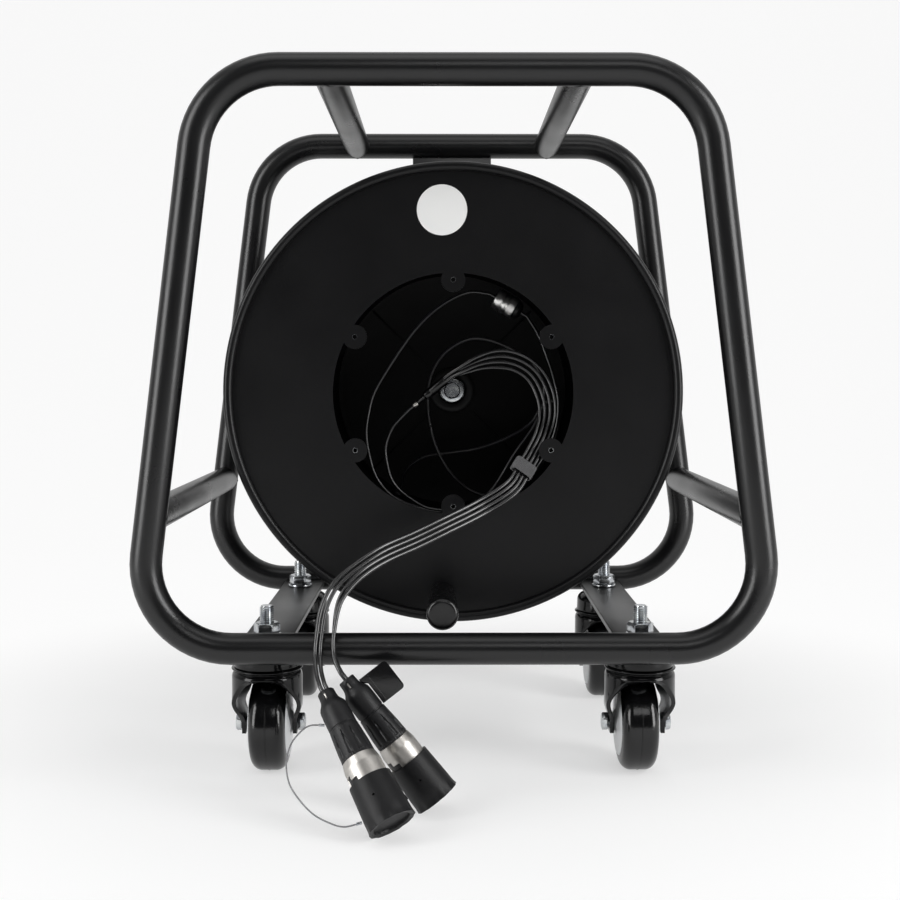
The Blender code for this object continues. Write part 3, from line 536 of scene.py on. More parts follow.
def dressed_copies(spot, rows):
    """Copy patterns to a spot. A row is pattern, name, place, material, body, slot and CAD nodes."""
    made = []
    for pattern, name, place, material, body, slot, *nodes in rows:
        twin = copied(pattern, f"{name}_{spot}", place)
        made.append(dress(twin, material, body, slot, *[f"{node}_{spot}" for node in nodes]))
    return made


# %% [markdown]
# A turned piece is one vertex, extruded along half of its section and spun about Z. An outline
# piece is a circle whose vertices are moved to the outline, then extruded. Both leave a closed
# mesh with its faces outwards. Grooves and knurls are pressed in last, by moving vertices.

# %% Spin a profile, extrude an outline


def pull(x, y, z):
    bpy.ops.mesh.extrude_region_move(TRANSFORM_OT_translate={"value": (x, y, z)})


def close_up(merge=True):
    """Merge doubled vertices, turn every face outwards and leave edit mode."""
    bpy.ops.mesh.select_all(action="SELECT")
    if merge:
        bpy.ops.mesh.remove_doubles(threshold=SAME_SPOT)
    bpy.ops.mesh.normals_make_consistent(inside=False)
    bpy.ops.object.mode_set(mode="OBJECT")


def lone_vertex(name, place):
    deselect()
    bpy.ops.mesh.primitive_plane_add(size=0.01, location=(0.0, 0.0, 0.0))
    piece = bpy.context.object
    piece.name = name
    bpy.ops.object.mode_set(mode="EDIT")
    bpy.ops.mesh.select_mode(type="VERT")
    bpy.ops.mesh.select_all(action="SELECT")
    bpy.ops.mesh.merge(type="CENTER")
    bpy.ops.mesh.select_all(action="SELECT")
    bpy.ops.transform.translate(value=place)
    return piece


def turned(name, profile, steps=64):
    piece = lone_vertex(name, (profile[0][0], 0.0, profile[0][1]))
    for (r, z), (next_r, next_z) in zip(profile, profile[1:]):
        pull(next_r - r, 0.0, next_z - z)
    bpy.ops.mesh.select_all(action="SELECT")
    bpy.ops.mesh.spin(steps=steps, angle=math.tau, center=(0.0, 0.0, 0.0), axis=(0.0, 0.0, 1.0))
    close_up()
    return piece


def spun(name, profile, place, edge=0.0, steps=64):
    """A turned piece with rounded edges, at its place."""
    return settle(soften(turned(name, profile, steps), edge), place)


def rod(name, radius, low, high, steps=64):
    """A plain solid cylinder."""
    return turned(name, [(0.0, low), (radius, low), (radius, high), (0.0, high)], steps)


def bored(name, inner, outer, low, high, steps=64):
    """A plain ring: inner and outer radius, low and high end."""
    return turned(name, [(inner, low), (outer, low), (outer, high), (inner, high), (inner, low)], steps)


def outlined(name, outline, low, high):
    deselect()
    corners = len(outline)
    bpy.ops.mesh.primitive_circle_add(vertices=corners, radius=0.1, fill_type="NGON", location=(0, 0, 0))
    piece = bpy.context.object
    piece.name = name
    for vertex, (x, y) in zip(piece.data.vertices, outline):
        vertex.co = (x, y, low)
    bpy.ops.object.mode_set(mode="EDIT")
    bpy.ops.mesh.select_all(action="SELECT")
    pull(0.0, 0.0, high - low)
    close_up(merge=False)
    return piece


def block(name, low, high):
    """A cube stretched between two corners."""
    deselect()
    low, high = Vector(low), Vector(high)
    bpy.ops.mesh.primitive_cube_add(size=1.0, location=(low + high) / 2)
    piece = bpy.context.object
    piece.name = name
    piece.scale = high - low
    bpy.ops.object.transform_apply(location=True, rotation=True, scale=True)
    return piece


def shaped(piece, change):
    """Move each vertex outwards by what a rule gives for its angle, height and radius."""
    for vertex in piece.data.vertices:
        radius = math.hypot(vertex.co.x, vertex.co.y)
        if radius > 0.004:
            angle = math.atan2(vertex.co.y, vertex.co.x)
            scale = 1 + change(angle, vertex.co.z, radius) / radius
            vertex.co.x *= scale
            vertex.co.y *= scale
    return piece


def arc(centre, radius, start, end, steps):
    """Points of an arc in degrees, as (x, y)."""
    angles = [deg(start + (end - start) * step / steps) for step in range(steps + 1)]
    return [(centre[0] + radius * math.cos(a), centre[1] + radius * math.sin(a)) for a in angles]


def polar(radius, angle, height=0.0):
    return Vector((radius * math.cos(angle), radius * math.sin(angle), height))


def aimed(position, direction, side=Vector((0.0, 0.0, 1.0))):
    """A frame whose Z runs along a direction and whose X leans towards a side."""
    z_axis = direction.normalized()
    x_axis = (side - z_axis * side.dot(z_axis)).normalized()
    columns = Matrix((x_axis, z_axis.cross(x_axis), z_axis)).transposed().to_4x4()
    return Matrix.Translation(position) @ columns


# %% [markdown]
# ## Frame of bent tube
#
# Each ring is one 25 mm tube, bent at four corners and welded shut. A bevelled curve is the way
# to make it: eight Bezier points mark where the bends start and end, and the handles are as long
# as a circular arc of that sweep needs.

# %% Two rings
TUBE_R = 0.0125
RING_Y = 0.170
BOTTOM_Z, TOP_Z = 0.117, 0.564
BOTTOM_HALF, TOP_HALF = 0.2497, 0.1915
BEND_R = 0.066


def bent_ring(name, y):
    corners = [Vector((-BOTTOM_HALF, y, BOTTOM_Z)), Vector((BOTTOM_HALF, y, BOTTOM_Z)),
               Vector((TOP_HALF, y, TOP_Z)), Vector((-TOP_HALF, y, TOP_Z))]
    deselect()
    bpy.ops.curve.primitive_bezier_circle_add(radius=0.1, location=(0.0, 0.0, 0.0))
    ring = bpy.context.object
    ring.name = name
    points = ring.data.splines[0].bezier_points
    points.add(4)
    for index, corner in enumerate(corners):
        to_last = (corners[index - 1] - corner).normalized()
        to_next = (corners[(index + 1) % 4] - corner).normalized()
        half_angle = to_last.angle(to_next) / 2
        run = BEND_R / math.tan(half_angle)
        handle = 4 / 3 * math.tan((math.pi / 2 - half_angle) / 2) * BEND_R
        entry, leave = points[2 * index], points[2 * index + 1]
        for point in (entry, leave):
            point.handle_left_type = point.handle_right_type = "FREE"
        entry.co = corner + to_last * run
        entry.handle_left = entry.co + to_last * handle
        entry.handle_right = entry.co - to_last * handle
        leave.co = corner + to_next * run
        leave.handle_left = leave.co - to_next * handle
        leave.handle_right = leave.co + to_next * handle
    ring.data.dimensions = "3D"
    ring.data.resolution_u = 16
    ring.data.bevel_depth = TUBE_R
    ring.data.bevel_resolution = 14
    bpy.ops.object.convert(target="MESH")
    bpy.ops.object.mode_set(mode="EDIT")
    close_up()
    bpy.ops.object.shade_smooth()
    return bpy.context.object


for ring_name, ring_y in (("front_ring", -RING_Y), ("rear_ring", RING_Y)):
    ring = bent_ring(ring_name + "_tube", ring_y)
    dress(ring, tube_black, "frame", "black_powder", ring_name)
print("ring tube", len(ring.data.vertices), "vertices")

# %% [markdown]
# The rings are held apart by four straight tubes of the same size, cut to a fish mouth and
# welded. Here each tube simply runs on into the rings, because the mouth itself can't be seen.
# The weld can: a bead follows the curve in which two equal cylinders meet.

# %% Cross tubes with their welds
TOP_CROSS_X = 0.097
SIDE_CROSS_Z = 0.221
WELD_R = 0.0013
WELD_STEPS = 64
WELD_INSET = 0.93


def side_x(z):
    """X of a ring side's axis at a height."""
    return BOTTOM_HALF - (z - BOTTOM_Z) * (BOTTOM_HALF - TOP_HALF) / (TOP_Z - BOTTOM_Z)


def weld_bead(x, z, ring_direction, end):
    """A bead along the saddle where a cross tube meets a ring, at the front (-1) or rear (1)."""
    across = Vector((0.0, 1.0, 0.0)).cross(ring_direction)
    line = []
    for step in range(WELD_STEPS):
        angle = math.tau * step / WELD_STEPS
        ripple = 1.0 + 0.012 * math.sin(step * 1.7)
        spot = ring_direction * math.cos(angle) + across * math.sin(angle)
        spot = spot * TUBE_R * WELD_INSET * ripple
        back = TUBE_R * abs(math.cos(angle)) * ripple
        line.append(Vector((x, end * (RING_Y - back), z)) + spot)
    curve = bpy.data.curves.new("weld", "CURVE")
    curve.dimensions = "3D"
    curve.bevel_depth = WELD_R
    curve.bevel_resolution = 2
    spline = curve.splines.new("POLY")
    spline.points.add(len(line) - 1)
    for point, spot in zip(spline.points, line):
        point.co = (*spot, 1.0)
    spline.use_cyclic_u = True
    bead = bpy.data.objects.new("weld", curve)
    bpy.context.scene.collection.objects.link(bead)
    pick(bead)
    bpy.ops.object.convert(target="MESH")
    return bpy.context.object


def cross_tube(name, x, z, ring_direction):
    deselect()
    bpy.ops.mesh.primitive_cylinder_add(vertices=48, radius=TUBE_R, depth=2 * RING_Y - 0.004,
                                        location=(x, 0.0, z), rotation=(deg(90), 0.0, 0.0))
    tube = bpy.context.object
    bpy.ops.object.transform_apply(location=True, rotation=True, scale=True)
    beads = [weld_bead(x, z, ring_direction.normalized(), end) for end in (-1, 1)]
    tube = joined(name + "_welded", [tube, *beads])
    soften(tube)
    return dress(tube, tube_black, "frame", "black_powder", name)


for side, sign in (("left", -1), ("right", 1)):
    cross_tube(f"top_cross_tube_{side}", sign * TOP_CROSS_X, TOP_Z, Vector((1.0, 0.0, 0.0)))
    slope = Vector((sign * (side_x(1.0) - side_x(0.0)), 0.0, 1.0))
    cross_tube(f"side_cross_tube_{side}", sign * side_x(SIDE_CROSS_Z), SIDE_CROSS_Z, slope)

# %% [markdown]
# Flat bar carries the casters and the drum. Rolled bar has slightly rounded edges, and that is
# the only thing that makes a stretched cube look like steel, so it gets a narrow bevel. The
# corners come from the CAD nodes themselves.

# %% Caster bars and bearing plate
for side in ("left", "right"):
    node = f"caster_bar_{side}"
    bar = soften(block(node + "_flat", *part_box(node)), 0.0007, 3)
    dress(bar, bar_black, "frame", "black_powder", node)

AXLE_Z = 0.3145
DRUM = Matrix.Translation((0.0, 0.0, AXLE_Z)) @ Matrix.Rotation(deg(90), 4, "X")
PLATE_REAR, PLATE_FRONT, BOSS_FRONT = -0.1695, -0.1645, -0.1583
HUB_R = 0.022
AXLE_R = 0.010


def make_bearing_plate():
    """The flat plate and its turned boss, in one piece."""
    low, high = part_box("bearing_plate")
    plate = block("plate", (low.x, -PLATE_FRONT, low.z), (high.x, -PLATE_REAR, high.z))
    soften(plate, 0.0006, 3)
    foot, weld_r = PLATE_FRONT - 0.001, HUB_R + 0.002
    profile = [(AXLE_R, foot), (weld_r, foot), (weld_r, PLATE_FRONT), (HUB_R, PLATE_FRONT + 0.002),
               (HUB_R, BOSS_FRONT), (AXLE_R, BOSS_FRONT), (AXLE_R, foot)]
    return joined("bearing_plate_flat", [plate, spun("boss", profile, DRUM, 0.0004)])


dress(make_bearing_plate(), bar_black, "frame", "black_powder", "bearing_plate")

# %% [markdown]
# ## Bolts and nuts
#
# A hexagon nut is a six-sided prism whose corners are turned off at 30 degrees. The same is done
# here: the prism is cut down to what it shares with a turned shape. A thread is a real helix from
# the Screw modifier, one V of the profile lifted by the pitch each turn.

# %% Hexagons and threads


def hexagon_nut(name, across_flats, low, high, bore=0.0, both_ends=True):
    """A nut or a bolt head along Z, with its corners turned off at its top and, if asked, below."""
    corner_r = across_flats / math.sqrt(3)
    deselect()
    bpy.ops.mesh.primitive_cylinder_add(vertices=6, radius=corner_r, depth=high - low,
                                        location=(0.0, 0.0, (low + high) / 2), rotation=(0.0, 0.0, deg(30)))
    nut = bpy.context.object
    nut.name = name
    bpy.ops.object.transform_apply(location=True, rotation=True, scale=True)
    face_r = across_flats * 0.475
    fall = (corner_r * 1.01 - face_r) * math.tan(deg(30))
    foot = [(face_r, low), (corner_r * 1.01, low + fall)] if both_ends else [(corner_r * 1.01, low)]
    profile = [(0.0, low), *foot, (corner_r * 1.01, high - fall), (face_r, high), (0.0, high)]
    nut = cut(nut, turned("chamfer", profile, 48), "INTERSECT")
    if bore:
        nut = cut(nut, rod("bore", bore, low - 0.01, high + 0.01, 32))
    return soften(nut, 0.00015, 1)


def threaded_rod(name, radius, pitch, low, high):
    """A helical thread over a core, its top edge chamfered."""
    depth = pitch * 0.55
    turns = int((high - low) / pitch) - 1
    thread = lone_vertex(name, (radius - depth, 0.0, low + pitch))
    pull(depth, 0.0, -pitch * 0.45)
    pull(0.0, 0.0, -pitch * 0.10)
    pull(-depth, 0.0, -pitch * 0.45)
    bpy.ops.object.mode_set(mode="OBJECT")
    modified(thread, "SCREW", angle=math.tau, screw_offset=pitch, iterations=turns, steps=32,
             render_steps=32, use_merge_vertices=True, merge_threshold=SAME_SPOT)
    core_r = radius - depth * 0.9
    core = turned("core", [(0.0, low), (core_r, low), (core_r, high - depth), (core_r - depth * 0.4, high),
                           (0.0, high)], 32)
    return soften(joined(name, [thread, core]))


# %% [markdown]
# The axle bolt comes in from the rear. Only its head shows behind, and its thread end with the
# big nut at the bottom of the drum's cavity. Everything is laid out along the drum's axis and
# then settled there.

# %% Axle bolt and hub nut
THREAD_R = 0.008
axle_head = hexagon_nut("axle_head", 0.030, -0.1820, -0.1698, both_ends=False)
axle_head = settle(axle_head, Matrix.Rotation(deg(180), 4, "X") @ Matrix.Translation((0.0, 0.0, 0.3518)))
axle_shank = soften(rod("axle_shank", AXLE_R, -0.1750, -0.1279), 0.0004)
axle_thread = threaded_rod("axle_thread", THREAD_R, 0.0015, -0.1290, -0.1098)
axle = settle(joined("axle_bolt_turned", [axle_head, axle_shank, axle_thread]), DRUM)
dress(axle, zinc, "frame", "zinc", "axle_bolt")

hub_hexagon = hexagon_nut("hub_hexagon", 0.024, -0.1258, -0.1128, THREAD_R)
collar_profile = [(THREAD_R, -0.1275), (0.0141, -0.1275), (0.0141, -0.1262), (0.0125, -0.1252),
                  (THREAD_R, -0.1252), (THREAD_R, -0.1275)]
hub_collar = soften(turned("hub_collar", collar_profile), 0.0002)
dress(settle(joined("hub_nut_turned", [hub_hexagon, hub_collar]), DRUM), zinc, "frame", "zinc", "hub_nut")

# %% [markdown]
# ## Casters
#
# A caster is bought in: an M12 stud through the bar with washer and nut, a fixed cup over the
# ball race, a pressed fork, and a wheel on a bolt. Each part is modelled once about the swivel's
# axis and copied four times, so that a change to one changes all.

# %% Stud, washer, nut and cup
stud = threaded_rod("stud", 0.0060, 0.00175, 0.1262, 0.1424)
washer = soften(bored("washer", 0.0062, 0.0119, 0.1169, 0.1191), 0.0003)
stud_nut = hexagon_nut("stud_nut", 0.019, 0.1193, 0.1284, 0.0058)
race_pin_profile = [(0.0, 0.0853), (0.0084, 0.0853), (0.0084, 0.0881), (0.0049, 0.0881),
                    (0.0049, 0.0940), (0.0, 0.0940)]
race_pin = soften(turned("race_pin", race_pin_profile, 32), 0.0003)
stud_set = joined("stud_set", [stud, washer, stud_nut, race_pin])

cup_shoulder = [(0.0190 + 0.0077 * math.cos(deg(a)), 0.1030 + 0.0076 * math.sin(deg(a)))
                for a in range(0, 91, 15)]
cup_profile = [(0.0, 0.0950), (0.0260, 0.0950), (0.0270, 0.0931), (0.0271, 0.0940), (0.0268, 0.0965),
               *cup_shoulder, (0.0120, 0.1110), (0.0, 0.1110)]
cup = soften(turned("cup", cup_profile), 0.0002)

# %% [markdown]
# The fork is drawn from sheet as a round bell, and its lower part is flattened into two legs. So
# it starts as a turned skin, its lower vertices are moved onto two planes, and it gets its 3.4 mm.
# Its rear is opened for the wheel, and a slanted side outline is trimmed last, as the press does.

# %% Pressed fork
SWIVEL_X, SWIVEL_Y = 0.1535, 0.121
TRAIL = 0.020
WHEEL_R = 0.040
SHEET = 0.0034
BELL_R, BELL_SHOULDER = 0.0271, 0.0850
REAR_OPENING = 37.5


def flattened(skin):
    """Press the bell's lower part onto two planes that lean in towards the wheel."""
    for vertex in skin.data.vertices:
        height = vertex.co.z
        drawn = min(1.0, max(0.0, (height - 0.050) / 0.026))
        drawn = drawn * drawn * (3 - 2 * drawn)
        lean = min(1.0, max(0.0, (height - 0.041) / 0.024))
        leg_x = 0.0212 + 0.0059 * lean * lean * (3 - 2 * lean)
        leg_x *= max(-1.0, min(1.0, 8 * vertex.co.x / BELL_R))
        vertex.co.x = leg_x + (vertex.co.x - leg_x) * drawn
        vertex.co.y *= 1 + (0.42 if vertex.co.y > 0 else 0.26) * (1 - drawn)
    return skin


def opened(skin):
    """Take out the bell's rear below its shoulder, where the wheel comes through."""
    bm = bmesh.new()
    bm.from_mesh(skin.data)
    rear = []
    for face in bm.faces:
        centre = face.calc_center_median()
        from_rear = abs(math.degrees(math.atan2(centre.y, centre.x)) - 90)
        if from_rear < REAR_OPENING and centre.z < BELL_SHOULDER - 0.0015:
            rear.append(face)
    bmesh.ops.delete(bm, geom=rear, context="FACES")
    bm.to_mesh(skin.data)
    bm.free()
    return skin


def make_fork():
    wall_line = [(BELL_R, BELL_SHOULDER - 0.0015 * step) for step in range(1, 36)]
    shoulder = arc((BELL_R - 0.0040, BELL_SHOULDER), 0.0040, 90, 0, 6)
    fork = turned("fork", [(0.0050, BELL_SHOULDER + 0.0040), *shoulder, *wall_line], 96)
    fork = modified(flattened(opened(fork)), "SOLIDIFY", thickness=SHEET, offset=0.0)
    side = [(-0.0320, 0.1000), (-0.0320, 0.0858), (-0.0283, 0.0856), (-0.0250, 0.0840), (-0.0219, 0.0811),
            (-0.0190, 0.0773), (-0.0162, 0.0733), (-0.0110, 0.0660), (-0.0060, 0.0590), (-0.0010, 0.0520),
            (0.0040, 0.0470), (0.0075, 0.0425), (0.0092, 0.0380), (0.0098, 0.0300), (0.0302, 0.0300),
            (0.0312, 0.0470), (0.0312, 0.1000)]
    trim = outlined("trim", side, -0.04, 0.04)
    trim = settle(trim, Matrix(((0, 0, 1, 0), (1, 0, 0, 0), (0, 1, 0, 0), (0, 0, 0, 1))))
    fork = soften(cut(fork, trim, "INTERSECT"), 0.0006, 2)
    race = [(0.0056, 0.0885), (0.0056, 0.0925), (0.0282, 0.0925), (0.0291, 0.0921), (0.0291, 0.0912),
            (0.0281, 0.0906), (0.0272, 0.0898), (0.0268, 0.0885), (0.0056, 0.0885)]
    return joined("fork", [fork, soften(turned("race", race), 0.0003)])


fork = make_fork()

# %% [markdown]
# The wheel's tread is a moulded tyre with round shoulders and a hair-thin line where the mould
# halves met. Its centre is a light grey dome that shows at each side. The bolt has a hexagon
# head at one end and a nut at the other.

# %% Wheel and its bolt


def make_wheel():
    """Tyre and centre about X, both spun about Z first."""
    shoulder = arc((0.0306, 0.0056), 0.0092, 84, 6, 14)
    crown = [(WHEEL_R - 0.0003, 0.0030), (WHEEL_R - 0.0003, 0.0005), (WHEEL_R, 0.0003), (WHEEL_R, 0.0)]
    half = [(0.0286, 0.0152), (0.0296, 0.0151)] + shoulder + crown
    profile = half + [(r, -x) for r, x in reversed(half[:-1])] + [half[0]]
    tyre = soften(turned("tyre", profile, 96))
    dome = [(0.0044, 0.0187), (0.0090, 0.0186), (0.0105, 0.0172), (0.0200, 0.0166), (0.0268, 0.0160),
            (0.0284, 0.0151), (0.0287, 0.0130)]
    centre = turned("centre", dome + [(r, -x) for r, x in reversed(dome)] + [dome[0]], 64)
    on_side = Matrix.Rotation(deg(90), 4, "Y")
    return settle(tyre, on_side), settle(soften(centre, 0.0003), on_side)


def make_wheel_bolt():
    pin = soften(rod("pin", 0.0040, -0.0285, 0.0290, 32), 0.0004)
    head = hexagon_nut("head", 0.0129, 0.0234, 0.0288, both_ends=False)
    nut = hexagon_nut("nut", 0.0129, -0.0288, -0.0234)
    return settle(joined("wheel_bolt", [pin, head, nut]), Matrix.Rotation(deg(90), 4, "Y"))


tyre, wheel_centre = make_wheel()
wheel_bolt = make_wheel_bolt()

# %% Four casters
for end, y in (("front", -SWIVEL_Y), ("rear", SWIVEL_Y)):
    for side, x in (("left", -SWIVEL_X), ("right", SWIVEL_X)):
        spot = f"{end}_{side}"
        swivel = Matrix.Translation((x, y, 0.0))
        hub = Matrix.Translation((x, y + TRAIL, WHEEL_R))
        fork_body, wheel_body = f"swivel_{spot}", f"wheel_{spot}"
        dressed_copies(spot, [
            (stud_set, "stud", swivel, zinc, "frame", "zinc", "caster_stem"),
            (cup, "cup", swivel, caster_black, "frame", "black_gloss"),
            (fork, "fork", swivel, caster_black, fork_body, "black_gloss", "caster_fork"),
            (wheel_bolt, "wheel_bolt", hub, zinc, fork_body, "zinc", "caster_axle_bolt"),
            (tyre, "tyre", hub, tread_rubber, wheel_body, "wheel_tread", "caster_wheel"),
            (wheel_centre, "wheel_centre", hub, wheel_grey, wheel_body, "wheel_tread"),
        ])
discard(stud_set, cup, fork, tyre, wheel_centre, wheel_bolt)

# %% [markdown]
# ## Drum
#
# A flange is a flat sheet whose rim is rolled into a bead, which makes it stiff and kind to
# hands. The section is spun in one go. The front flange then loses its middle to a cutter in the
# shape of the opening: a circle with six round tabs left standing for a cover's screws.

# %% Flanges
FLANGE_R, BEAD_R, BEAD_RISE, FLANGE_T = 0.1985, 0.004, 0.0015, 0.0015
FRONT_Z, REAR_Z = 0.055, -0.134
FRONT_INSIDE = FRONT_Z - FLANGE_T
OPENING_R, TAB_CIRCLE_R, TAB_R, TAB_HOLE_R = 0.104, 0.098, 0.0105, 0.00225
KNOB_CIRCLE_R, KNOB_ANGLE = 0.174, deg(-93)
TAB_ANGLES = [deg(30 + 60 * tab) for tab in range(6)]


def flange_section(inner_r, outer_face, inner_face):
    """Half section of a flange: the sheet from its inner edge, then the bead."""
    outward = 1.0 if outer_face > inner_face else -1.0
    centre_z = outer_face + outward * BEAD_RISE
    start = 180 - math.degrees(math.asin(outward * (outer_face - centre_z) / BEAD_R))
    end = -180 - math.degrees(math.asin(outward * (inner_face - centre_z) / BEAD_R))
    bead = arc((FLANGE_R - BEAD_R, 0.0), BEAD_R, start, end, 24)
    bead = [(r, centre_z + outward * rise) for r, rise in bead]
    return [(inner_r, inner_face), (inner_r, outer_face), *bead, (inner_r, inner_face)]


def opening_outline():
    """The circle of the opening, with a round tab at every sixth of it."""
    cosine = (OPENING_R ** 2 + TAB_CIRCLE_R ** 2 - TAB_R ** 2) / (2 * OPENING_R * TAB_CIRCLE_R)
    half_tab = math.acos(cosine)
    corner = polar(OPENING_R, half_tab) - Vector((TAB_CIRCLE_R, 0.0, 0.0))
    tab_sweep = math.atan2(corner.y, corner.x)
    outline = []
    for middle in TAB_ANGLES:
        for step in range(25):
            angle = middle - tab_sweep - step * (math.tau - 2 * tab_sweep) / 24
            outline.append(polar(TAB_CIRCLE_R, middle) + polar(TAB_R, angle))
        gap = deg(60) - 2 * half_tab
        outline += [polar(OPENING_R, middle + half_tab + gap * step / 20) for step in range(1, 20)]
    return [(point.x, point.y) for point in outline]


def drilled(piece, centre, radius):
    """Cut a round hole through a sheet of the front flange."""
    drill = rod("drill", radius, FRONT_Z - 0.01, FRONT_Z + 0.01, 32)
    return cut(piece, settle(drill, Matrix.Translation(centre)))


def make_front_flange():
    sheet = turned("front_sheet", flange_section(0.080, FRONT_Z, FRONT_INSIDE), 192)
    sheet = cut(sheet, outlined("opening", opening_outline(), FRONT_Z - 0.01, FRONT_Z + 0.01))
    for angle in TAB_ANGLES:
        sheet = drilled(sheet, polar(TAB_CIRCLE_R, angle), TAB_HOLE_R)
    sheet = drilled(sheet, polar(KNOB_CIRCLE_R, KNOB_ANGLE), 0.0043)
    return settle(soften(sheet), DRUM)


dress(make_front_flange(), sheet_black, "drum", "black_powder", "front_flange")

# %% [markdown]
# Behind each tab's hole sits a pressed-in nut, which catches a crescent of light. The rear
# flange closes the barrel, and two creases pressed across it stiffen the sheet. They show as thin
# lines in the cavity, so they are narrow raised ridges here.

# %% Tab nuts, rear flange and barrel
BARREL_R = 0.116
thread_r, nut_back, nut_front = TAB_HOLE_R - 0.0003, FRONT_Z - 0.0042, FRONT_Z - 0.0002
nut_profile = [(thread_r, nut_back), (0.0036, nut_back), (0.0036, FRONT_INSIDE), (TAB_HOLE_R, FRONT_INSIDE),
               (TAB_HOLE_R, nut_front), (thread_r, nut_front), (thread_r, nut_back)]
tab_nut = turned("tab_nut", nut_profile, 32)
tab_nuts = [copied(tab_nut, f"tab_nut_{tab}", Matrix.Translation(polar(TAB_CIRCLE_R, angle)))
            for tab, angle in enumerate(TAB_ANGLES)]
discard(tab_nut)
dress(settle(soften(joined("tab_nuts", tab_nuts)), DRUM), zinc, "drum", "zinc")


def make_rear_flange():
    sheet = turned("rear_sheet", flange_section(HUB_R, REAR_Z - FLANGE_T, REAR_Z), 192)
    outline = [(0.030, -0.0012), (0.112, -0.0012), (0.113, 0.0), (0.112, 0.0012), (0.030, 0.0012),
               (0.029, 0.0)]
    ridges = []
    for quarter in range(4):
        ridge = outlined("ridge", outline, REAR_Z - 0.0005, REAR_Z + 0.0006)
        ridges.append(settle(soften(ridge, 0.0005, 3), Matrix.Rotation(deg(45 + 90 * quarter), 4, "Z")))
    return settle(joined("rear_flange_pressed", [soften(sheet), *ridges]), DRUM)


# The rear flange and the barrel wear the darkened coat, which is painted shade for the cavity.
dress(make_rear_flange(), cavity_shade_black, "drum", "black_powder", "rear_flange")

WALL = 0.0015
barrel = bored("barrel_rolled", BARREL_R - WALL, BARREL_R, REAR_Z, FRONT_INSIDE, 192)
dress(settle(soften(barrel), DRUM), cavity_shade_black, "drum", "black_powder", "barrel")

# %% [markdown]
# Hub and bush are turned parts behind the rear flange. Little of them shows between flange and
# plate, but from the side that gap is open, and a bright ring there tells how the drum runs.

# %% Hub and bush
HUB_FRONT, HUB_BACK = -0.1282, -0.1578
SEAT = REAR_Z - FLANGE_T
HUB_BORE = 0.0132
hub_profile = [(HUB_BORE, HUB_FRONT), (HUB_R, HUB_FRONT), (HUB_R, SEAT), (0.040, SEAT),
               (0.040, SEAT - 0.004), (0.024, SEAT - 0.0045), (HUB_R, SEAT - 0.006), (HUB_R, HUB_BACK),
               (HUB_BORE, HUB_BACK), (HUB_BORE, HUB_FRONT)]
dress(spun("hub_turned", hub_profile, DRUM, 0.0005), sheet_black, "drum", "zinc", "drum_hub")
bush = bored("bush_turned", AXLE_R + 0.0002, HUB_BORE - 0.0001, HUB_BACK - 0.0001, HUB_FRONT + 0.0001)
bush = soften(bush, 0.0003)
dress(settle(bush, DRUM), bronze, "drum", "bronze", "hub_bushing")

# %% [markdown]
# ## Crank knob
#
# The knob is a plain plastic handle, thicker towards its end, that spins on a riveted pin. Its
# end is flat with a well rounded rim, and that rim throws back two arcs of the side lamps.

# %% Knob and pin
KNOB = DRUM @ Matrix.Translation(polar(KNOB_CIRCLE_R, KNOB_ANGLE))
KNOB_END = 0.155
knob_profile = [(0.0043, 0.0573), (0.0090, 0.0573), (0.0103, 0.0582), (0.0106, 0.0620), (0.0116, 0.1000),
                (0.0129, KNOB_END - 0.0090), *arc((0.0095, KNOB_END - 0.0034), 0.0034, 0, 90, 10),
                (0.0060, KNOB_END - 0.0001), (0.0, KNOB_END - 0.0002), (0.0, KNOB_END - 0.006),
                (0.0043, KNOB_END - 0.006), (0.0043, 0.0573)]
dress(spun("knob_turned", knob_profile, KNOB), knob_plastic, "knob", "black_rubber", "crank_knob")
pin_profile = [(0.0, KNOB_END - 0.0065), (0.0040, KNOB_END - 0.0065), (0.0040, 0.0570), (0.0085, 0.0570),
               (0.0085, 0.0553), (0.0040, 0.0553), (0.0040, 0.0532), (0.0070, 0.0532), (0.0062, 0.0492),
               (0.0, 0.0487)]
dress(spun("knob_pin_turned", pin_profile, KNOB, 0.0003), zinc, "drum", "zinc", "knob_pin")

# %% [markdown]
# ## Swept cords
#
# Every cord is one function: a section carried along a path. The section is turned as little as
# possible from point to point, so it doesn't twist, and the mesh keeps a UV map in metres for
# ribs and weave. A route's own points are few and listed, and a smooth curve goes through them.

# %% Sweep a section along a smooth path
FINE_STEPS = 24


def smooth_path(points, count):
    """Points at even distances along a smooth curve through the given points."""
    points = [Vector(point) for point in points]
    fine = [points[0]]
    for index in range(len(points) - 1):
        start, end = points[index], points[index + 1]
        chord = (end - start).length
        leaving = (end - points[max(index - 1, 0)]).normalized() * chord / 3
        arriving = (points[min(index + 2, len(points) - 1)] - start).normalized() * chord / 3
        for step in range(1, FINE_STEPS + 1):
            t = step / FINE_STEPS
            weights = ((1 - t) ** 3, 3 * t * (1 - t) ** 2, 3 * t * t * (1 - t), t ** 3)
            handles = (start, start + leaving, end - arriving, end)
            fine.append(sum((w * handle for w, handle in zip(weights, handles)), Vector()))
    lengths = [0.0]
    for start, end in zip(fine, fine[1:]):
        lengths.append(lengths[-1] + (end - start).length)
    path = []
    segment = 0
    for index in range(count):
        target = lengths[-1] * index / (count - 1)
        while segment < len(lengths) - 2 and lengths[segment + 1] < target:
            segment += 1
        share = (target - lengths[segment]) / (lengths[segment + 1] - lengths[segment])
        path.append(fine[segment].lerp(fine[segment + 1], share))
    return path


def path_length(path):
    return sum((end - start).length for start, end in zip(path, path[1:]))


